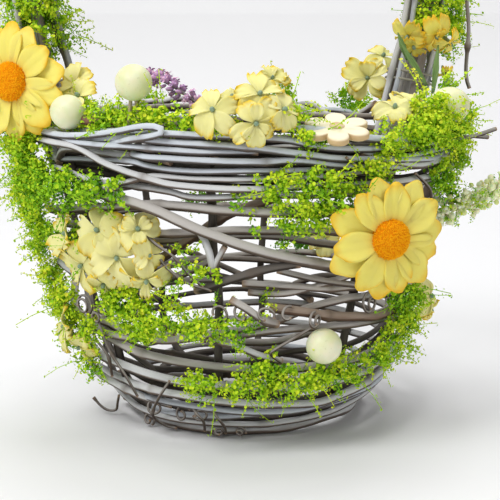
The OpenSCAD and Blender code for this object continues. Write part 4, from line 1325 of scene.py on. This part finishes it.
# %% Blossoms, sepals and cream petals at the right leg
leg_low, leg_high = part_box("blossoms_handle")
leg = (leg_low + leg_high) / 2
blossoms("blossoms_handle", [(leg + Vector((-0.0095, -0.010, 0.0155)), outward(-50, -35), 8.5),
                             (leg + Vector((-0.0070, -0.011, 0.0110)), outward(10, -50), 6.5),
                             (leg + Vector((0.0035, -0.012, 0.0155)), outward(35, -40), 8.5),
                             (leg + Vector((0.0100, -0.010, 0.0125)), outward(60, -45), 7.5),
                             (leg + Vector((0.0085, -0.010, -0.0020)), outward(40, -60), 5.0)],
         "blossoms_handle", daisy_silk)
blossoms("blossoms_far", [(Vector((0.064, 0.034, 0.160)), outward(-20, 10), 13),
                          (Vector((0.072, 0.040, 0.171)), outward(30, 40), 9),
                          (Vector((0.016, 0.088, 0.157)), outward(10, 50), 9),
                          (Vector((0.045, 0.070, 0.069)), outward(0, 20), 9)])
blossoms("cream_petals", [wall_spot(50, 153, -8, 20, 50, 10), wall_spot(44, 152, -9, 0, 60, 9)])
sepals = Shape()
for shift, turn, long in (((-0.001, -0.016, -0.008), -32, 26), ((0.002, -0.016, -0.012), 6, 24),
                          ((-0.010, -0.012, 0.004), -20, 14), ((0.006, -0.015, -0.016), 14, 16)):
    place = Matrix.Translation(leg + Vector(shift)) @ Matrix.Rotation(math.radians(turn), 4, "Y")
    place = place @ Matrix.Rotation(-math.pi / 2, 4, "Y") @ Matrix.Rotation(math.pi / 2, 4, "X")
    petal(sepals, place, long, 3.0, root=0.5, lift=0.0, droop=0.1, cup=0.25, crease=0.2, point=0.55)
show(sepals.make("sepals", leaf_silk, 0.3), "blossom_silk")
show(hearts.make("blossom_hearts", heart_green), "blossom_silk")
print("blossom silk, in faces:", faces_in("blossom_silk"))

# %% [markdown]
# ## Beads and egg
# Turned wooden balls with a coat of pale green paint and a satin varnish. The paint is thin at
# places, so its colour drifts a little. The ends of their stems show.

# %% Painted beads
f = Finish("bead")
drift = f.noise(f.scaled(f.place(), (70, 70, 70)), 1.0, 3.0)
speck = f.noise(f.scaled(f.place(), (900, 900, 900)), 1.0, 2.0)
paint = f.mix(drift.between(0.35, 0.7), (0.74, 0.77, 0.42), (0.88, 0.87, 0.63))
paint = f.mix(speck.between(0.64, 0.72) * 0.35, paint, (0.55, 0.55, 0.30))
bead_paint = f.surface(Base_Color=paint, Roughness=0.42 + speck * 0.15, Subsurface_Weight=0.2,
                       Subsurface_Scale=0.003, Coat_Weight=0.15, Coat_Roughness=0.3,
                       Normal=f.bump(drift * 0.5 + speck * 0.5, 0.12, 0.0003))
# Rows of bead, height against width, axis and shift in mm.
bead_rows = (("bead_left", 0.96, (0.3, 0, 1), (-4.6, -3, -2.5)),
             ("bead_tall", 0.98, (0, 0.2, 1), (-2, 0, -1)),
             ("bead_wall", 1.0, (0.2, 0.5, 1), (-1, 0, -1.5)),
             ("egg_right", 1.12, (0.9, -0.2, 0.5), (0, -4, -6)))
for name, flat, axis, shift in bead_rows:
    low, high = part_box(name)
    bead = Shape()
    bead.ball((low + high) / 2 + Vector(shift) * MM, (high.x - low.x) / 2, 0.5, 28, 48, axis=axis, flat=flat)
    show(bead.make(name, bead_paint), "bead", name)
    print(name, "in mm across:", round((high.x - low.x) / MM, 1))

# %% Stems of the beads
f = Finish("red_stem")
tone = f.noise(f.scaled(f.place(), (200, 200, 200)), 1.0, 3.0)
red_stem = f.surface(Base_Color=f.mix(tone, (0.14, 0.045, 0.025), (0.38, 0.20, 0.13)), Roughness=0.6)
f = Finish("straw")
straw = f.surface(Base_Color=(0.425, 0.36, 0.215, 1), Roughness=0.7)
bead_low, bead_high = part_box("bead_left")
start = Vector((bead_high.x - 0.0060, (bead_low.y + bead_high.y) / 2 - 0.006,
                (bead_low.z + bead_high.z) / 2 - 0.0055))
vine("bead_stem_left", [smooth_line([start, start + Vector((0.009, -0.001, -0.0015)),
                                     start + Vector((0.020, 0, -0.001))], 5)], 1.9, red_stem,
     slot="stem", step=1)
tall_low, tall_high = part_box("bead_tall")
foot = Vector(((tall_low.x + tall_high.x) / 2 - 0.002, (tall_low.y + tall_high.y) / 2, tall_low.z + 0.001))
pair = [smooth_line([foot + Vector((s * 0.001, 0, 0)), foot + Vector((s * 0.0018, 0, -0.008)),
                     foot + Vector((s * 0.003, 0.001, -0.018))], 5) for s in (-1, 1)]
vine("bead_stems", pair, 0.8, straw, "bead_stems", slot="stem", step=1, knots=0)
print("stems, in faces:", faces_in("stem"))

# %% [markdown]
# ## The wooden flower
# It is sawn from 3 mm plywood: the outline is a wave round a circle. The saw leaves a darker
# edge, and a small button is glued on its middle.

# %% Wooden flower
f = Finish("plywood")
streak = f.noise(f.scaled(f.place(), (120, 900, 900)), 1.0, 4.0)
edge = f.attribute("along")
wood = f.mix(streak, (0.84, 0.74, 0.50), (0.94, 0.87, 0.68))
plywood = f.surface(Base_Color=f.mix(edge, wood, (0.62, 0.44, 0.22)), Roughness=0.7,
                    Normal=f.bump(streak, 0.3, 0.0002))
low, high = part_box("wooden_flower")
middle = (low + high) / 2
place = Matrix.Translation(middle - Vector((0.005, 0.004, 0.004)))
place = place @ Matrix.Rotation(math.radians(19), 4, "X")
radius = (high.x - low.x) / 2
disc = Shape()
PETALS_ROUND = 6
turns = np.linspace(0, 2 * math.pi, 140, endpoint=False)
outline = 0.46 + 0.54 * np.abs(np.sin(PETALS_ROUND / 2 * turns)) ** 0.5
# Rows of share of the outline, height in mm, and how dark the sawn edge is.
layers = [(0.03, -1.5, 0), (0.94, -1.5, 0.2), (1.0, -1.0, 1), (1.0, 0.9, 1), (0.95, 1.45, 0.2),
          (0.85, 1.5, 0), (0.03, 1.5, 0)]
rings = np.array([[place @ Vector((radius * r * s * math.cos(a), radius * r * s * math.sin(a), z * MM))
                   for a, r in zip(turns, outline)] for s, z, e in layers])
edges = np.array([[e] * len(turns) for s, z, e in layers], float)
disc.grid(rings, edges, edges * 0, 0.5, wrap=True, caps=True)
disc.ball(place @ Vector((0, 0, 1.7 * MM)), 3.2 * MM, 0.5, 10, 20, axis=(0, -0.33, 0.94), flat=0.30)
show(disc.make("wooden_flower", plywood), "plywood", "wooden_flower")
print("wooden flower in mm across:", round(2 * radius / MM, 1))

# %% [markdown]
# ## Lavender and berries
# A sprig of lavender lies across the rim behind the beads: a thin stem with whorls of buds, grey
# at their roots and mauve at their tips. On the right a sprig of tiny cream berries points out of
# the weave. Both use the sprout tree.

# %% Lavender
bud = Shape()
bud.ball((0, 0, 1.9 * MM), 1.0 * MM, 0.4, 6, 7, flat=2.0)
bud_open = Shape()
bud_open.ball((0, 0, 1.6 * MM), 0.95 * MM, 0.4, 6, 7, flat=1.9)
flower(bud_open, Matrix.Translation((0, 0, 2.4 * MM)), 5, 1.9, 1.3, start=0.3, lift=0.5, rows=3, columns=3,
       crease=0)
bud_shapes = shape_set("bud_shapes", [bud, bud_open])
f = Finish("lavender")
level = f.attribute("along")
tuft_tone = f.attribute("tuft")
mauve = f.ramp(level * 0.6 + tuft_tone * 0.5, [(0.1, (0.20, 0.17, 0.24)), (0.4, (0.36, 0.22, 0.40)),
                                              (0.7, (0.58, 0.34, 0.58)), (1.0, (0.80, 0.50, 0.60))])
lavender = f.surface(Base_Color=mauve, Roughness=0.8, Subsurface_Weight=0.1, Subsurface_Scale=0.001)
low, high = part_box("lavender_sprig")
tip_spot = Vector((low.x - 0.001, high.y - 0.002, high.z - 0.003))
root_spot = Vector((high.x + 0.009, low.y + 0.002, low.z - 0.008))
stem_line = smooth_line([root_spot, root_spot.lerp(tip_spot, 0.4) + Vector((0, 0, -0.001)),
                         root_spot.lerp(tip_spot, 0.75) + Vector((0, 0, 0.0015)), tip_spot], 10)
vine("lavender_stem", [stem_line], 0.7, grey_bark, slot="lavender", waver=0.3, knots=0, step=1, sides=8)
spots = []
along = (tip_spot - root_spot).normalized()
WHORLS = 11
for whorl in range(WHORLS):
    p = stem_line[min(len(stem_line) - 1, int((0.16 + 0.84 * whorl / (WHORLS - 1)) * len(stem_line)))]
    for k in range(rng.randint(5, 7)):
        out = along.cross(Vector([rng.gauss(0, 1) for _ in range(3)])).normalized()
        spots.append((p + (out * 1.2 + along * rng.uniform(-0.8, 0.8)) * MM, (out + along * 0.7).normalized(),
                      rng.uniform(0.8, 1.25), 0.3 + 0.7 * rng.random(), rng.randrange(2)))
sprout("lavender_sprig", spots, bud_shapes, lavender, "lavender", "lavender_sprig")
print("lavender buds:", len(spots))

# %% Berry sprig
berry = Shape()
berry.ball((0, 0, 1.0 * MM), 1.25 * MM, 0.5, 8, 10)
berry_small = Shape()
berry_small.ball((0, 0, 0.8 * MM), 0.9 * MM, 0.6, 7, 9, flat=1.1)
berry_shapes = shape_set("berry_shapes", [berry, berry_small])
f = Finish("berries")
cream = f.ramp(f.attribute("tuft"), [(0.0, (0.72, 0.80, 0.30)), (0.3, (0.93, 0.94, 0.55)),
                                     (1.0, (0.98, 0.97, 0.80))])
berries = f.surface(Base_Color=cream, Roughness=0.5, Subsurface_Weight=0.2, Subsurface_Scale=0.002)
low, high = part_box("berry_sprig")
root_spot = Vector((low.x - 0.007, (low.y + high.y) / 2 - 0.006, (low.z + high.z) / 2 - 0.009))
tip_spot = Vector((high.x - 0.003, (low.y + high.y) / 2 - 0.004, high.z + 0.006))
stem_line = smooth_line([root_spot, root_spot.lerp(tip_spot, 0.5) + Vector((0, 0, -0.002)), tip_spot], 14)
vine("berry_stem", [stem_line], 0.7, leaf_paint, slot="berries", waver=0.3, knots=0, step=1, sides=8)
spots, leaves = [], []
for i in range(300):
    p = stem_line[int((0.12 + 0.88 * rng.random() ** 0.85) * (len(stem_line) - 1))]
    out = Vector([rng.gauss(0, 1) for _ in range(3)]).normalized()
    spots.append((p + out * rng.uniform(0.5, 6.0) * MM, out, rng.uniform(0.8, 1.35), rng.random(),
                  rng.randrange(2)))
    if i % 4 == 0:
        leaves.append((p + out * rng.uniform(2, 5) * MM, out, 0.6, 0.5 + rng.uniform(-0.3, 0.2),
                       rng.randrange(4)))
sprout("berry_sprig", spots, berry_shapes, berries, "berries", "berry_sprig")
sprout("berry_greens", leaves, moss_shapes, moss_green, "moss")
print("berries:", len(spots), "and green sprigs:", len(leaves))

# %% [markdown]
# ## Tendrils, twigs and wire
# The thin shoots of the vines dried in curls. They are the same vine tree with a radius under a
# millimetre: curls are short spirals that tighten, and wisps run through a few points by the weave.

# %% Curls and wisps
POINTS_A_TURN = 14


def curl(bearing, height, proud, size, turns, lift=0, rise=3.0):
    """A curl of a radius in mm, with its middle by the wall."""
    centre = on_wall(bearing, height, proud)
    place = facing(centre, outward(bearing + rng.uniform(-30, 30), lift), rng.uniform(0, 360))
    line = []
    count = int(turns * POINTS_A_TURN)
    for i in range(count):
        share = i / count
        r = size * (1 - 0.55 * share)
        a = 2 * math.pi * turns * share
        line.append(place @ (Vector((r * math.cos(a), r * math.sin(a) * 0.85, rise * (share - 0.5))) * MM))
    return line


def wisp(*spots):
    """A thin shoot through (bearing, height, proud) spots."""
    return smooth_line([on_wall(*s) for s in spots], 8)


# Rows of bearing, height, proud, size and turns.
curls = ((-82, 92, 8, 6, 2.2), (-78, 86, 9, 4.5, 1.8), (-74, 94, 9, 4, 1.6), (-52, 62, 8, 5, 1.8),
         (-46, 58, 8, 4, 1.6), (-6, 67, 8, 4.5, 0.8), (0, 67, 9, 4.2, 0.8), (6, 66, 9, 4.2, 0.9),
         (12, 66, 9, 4.0, 0.8), (20, 62, 9, 4, 1.5), (38, 66, 7, 5, 1.5), (-10, 3.5, 4, 2.6, 1.4),
         (-1, 3.5, 4, 2.4, 1.6), (-24, 12, 2, 4.5, 1.2), (-36, 13, 2, 5, 1.1), (-44, 4, 4, 3.2, 1.3),
         (-16, 13, 2, 4, 1.1))
vine("tendrils", [curl(*row) for row in curls], 0.6, tendril_bark, "tendrils", slot="tendril", waver=0.9,
     knots=0.2, step=1.0, sides=7)
vine("tendril_wisps", [wisp((-84, 128, 4), (-86, 138, 9), (-80, 142, 10), (-74, 136, 9)),
                       wisp((-76, 140, 4), (-80, 130, 10), (-72, 124, 9), (-66, 128, 7)),
                       wisp((-70, 146, 0), (-78, 138, 7), (-88, 132, 6), (-84, 122, 8), (-76, 126, 9)),
                       wisp((46, 124, 5), (51, 116, 9), (54, 108, 9), (60, 104, 8)),
                       wisp((24, 134, 5), (29, 127, 7), (33, 122, 8), (35, 115, 7), (40, 112, 5)),
                       wisp((-26, 104, 2), (-22, 98, 7), (-17, 92, 7), (-13, 84, 7), (-10, 78, 5)),
                       wisp((-24, 100, 2), (-21, 92, 6), (-19, 86, 6), (-14, 80, 6), (-8, 76, 4)),
                       wisp((-50, 60, 5), (-46, 52, 8), (-44, 42, 8), (-40, 30, 6), (-38, 20, 5)),
                       wisp((-54, 56, 5), (-50, 46, 8), (-46, 38, 7), (-47, 28, 6)),
                       wisp((-24, 31, 3), (-27, 24, 6), (-32, 16, 6), (-36, 9, 6), (-34, 3, 4), (-30, 2, 2)),
                       wisp((-20, 16, -2), (-17, 14, 4), (-15, 10, 5), (-16, 4, 4)),
                       wisp((-12, 16, 0), (-9, 13, 5), (-7, 8, 5), (-7, 3, 4)),
                       wisp((-60, 12, 2), (-62, 7, 6), (-64, 3, 9), (-66, 2.5, 12), (-67, 5, 14),
                            (-68, 9, 14)),
                       wisp((12, 42, 5), (8, 48, 8), (14, 54, 8), (20, 58, 6))],
     0.65, tendril_bark, slot="tendril", waver=1.4, knots=0.5, step=1.2, sides=7)
print("tendrils, in faces:", faces_in("tendril"))

# %% Twigs
vine("twig_right", [smooth_line([on_wall(58, 136, 4), on_wall(66, 138, 12), on_wall(70, 141, 20)], 6),
                    smooth_line([on_wall(66, 138, 12), on_wall(70, 137, 17)], 6)], 1.0, grey_bark,
     slot="grey_vine", waver=0.6, step=1.2, sides=9)
rod_spot = leg + Vector((0.0195, 0, 0.034))
twig = [rod_spot + Vector(shift) * MM for shift in ((0, 0, 0), (1.5, 0, -16), (1.0, 0, -36), (3.0, 0, -44))]
vine("twig_hanging", [smooth_line(twig, 6)], 0.95, grey_bark, slot="grey_vine", waver=0.6, step=1.2,
     knots=1.0, sides=10)
print("hanging twig in mm:", round((twig[0] - twig[-1]).length / MM))

# %% Wire round the handle
WIRE_LOOP = 11.8
WIRE_PITCH = 0.4
loops = []
middle, bend, arch_z = arch("handle_rod_1")[:3]
wire_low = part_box("tie_wires")[0]
for side in (-1, 1):
    for z in (wire_low.z + 0.003, wire_low.z + 0.006):
        foot_z = arch_z - bend * math.sin(lean)
        x = side * (bend * math.cos(lean) - (foot_z - z) * math.tan(lean))
        centre = middle + across * x + Vector((0, 0, z))
        axis = (across * side * math.tan(lean) + Vector((0, 0, 1))).normalized()
        place = facing(centre, axis, rng.uniform(0, 360))
        loops.append([place @ (Vector((math.cos(a) * rng.uniform(11.4, 12.2),
                                       math.sin(a) * rng.uniform(11.2, 12), a * WIRE_PITCH)) * MM)
                      for a in np.arange(0, 6.8, 0.35)])
for turn in (55, 90, 125):
    a = math.radians(turn)
    centre = middle + across * bend * math.cos(a) + Vector((0, 0, arch_z + bend * math.sin(a)))
    axis = across * -math.sin(a) + Vector((0, 0, math.cos(a)))
    place = facing(centre, axis)
    loops.append([place @ (Vector((math.cos(b) * WIRE_LOOP, math.sin(b) * WIRE_LOOP, b * WIRE_PITCH)) * MM)
                  for b in np.arange(0, 13.0, 0.35)])
f = Finish("wire")
rust = f.noise(f.scaled(f.place(), (300, 300, 300)), 1.0, 3.0)
wire_paint = f.surface(Base_Color=f.mix(rust, (0.16, 0.15, 0.12), (0.42, 0.40, 0.30)), Roughness=0.55)
vine("tie_wires", [smooth_line(loop, 3) for loop in loops], 0.6, wire_paint, "tie_wires", slot="wire",
     waver=0.4, knots=0, step=1.0, sides=7)
print("wire loops:", len(loops))

# %% Put the shape boxes away
for box in shape_boxes:
    for piece in list(box.objects):
        bpy.data.objects.remove(piece)
    bpy.data.collections.remove(box)
print("shape boxes put away:", len(shape_boxes))

# %% [markdown]
# ## Floor and light
# The basket stands on a pale sheet that sweeps up behind it. Large soft lights and a bright
# surround leave only a faint shadow under it. The far part of the sheet glows a little, as painted
# light that keeps the backdrop bright.

# %% Floor
FLOOR_HALF_WIDTH = 3.0
floor_mesh = bpy.data.meshes.new("floor")
floor_profile = [(-1.6, 0.0), (1.0, 0.0), (1.4, 0.05), (1.75, 0.2), (2.0, 0.5), (2.1, 1.0), (2.1, 3.0)]
corners = [(x, y, z) for y, z in floor_profile for x in (-FLOOR_HALF_WIDTH, FLOOR_HALF_WIDTH)]
sides = [(2 * i, 2 * i + 1, 2 * i + 3, 2 * i + 2) for i in range(len(floor_profile) - 1)]
floor_mesh.from_pydata(corners, [], sides)
floor = bpy.data.objects.new("floor", floor_mesh)
floor_finish = Finish("paper")
depth = floor_finish.add("ShaderNodeSeparateXYZ", {}, {"Vector": floor_finish.place()}, out="Y")
# The far part of the sheet glows: painted light that keeps the backdrop bright.
far = depth.between(0.25, 1.5)
glow = floor_finish.mix(far, (0, 0, 0), (1, 1, 1))
floor_mesh.materials.append(floor_finish.surface(Base_Color=(0.86, 0.86, 0.87, 1), Roughness=0.9,
                                                 Emission_Color=glow, Emission_Strength=0.28))
bpy.context.scene.collection.objects.link(floor)
floor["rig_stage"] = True
print("floor strips:", len(sides))

# %% Soft light
AIM = Vector((0, 0, 0.08))
SURROUND = 0.32


def soft_light(name, spot, size, power):
    """A square lamp that looks at the middle of the basket."""
    light = bpy.data.lights.new(name, "AREA")
    light.size = size
    light.energy = power
    lamp = bpy.data.objects.new(name, light)
    lamp.location = spot
    lamp.rotation_euler = (AIM - Vector(spot)).to_track_quat("-Z", "Y").to_euler()
    bpy.context.scene.collection.objects.link(lamp)


soft_light("key", (-0.7, -0.7, 1.1), 0.7, 12.5)
soft_light("fill", (0.9, -0.8, 0.6), 0.9, 2.2)
soft_light("top", (0.1, 0.3, 1.3), 1.0, 10)
world = bpy.data.worlds.new("surround")
world.use_nodes = True
background = world.node_tree.nodes["Background"]
background.inputs["Color"].default_value = (1, 1, 1, 1)
background.inputs["Strength"].default_value = SURROUND
bpy.context.scene.world = world
bpy.context.scene.view_settings.view_transform = "Standard"
print("lamps:", len(bpy.data.lights))

# %% Gather both boxes and finish
box = {"cad": [list(cad_low), list(cad_high)], "visual": [list(corner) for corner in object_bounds()]}
print("past the CAD box at the back, in mm:", round((box["visual"][1][1] - cad_high.y) / MM, 1))
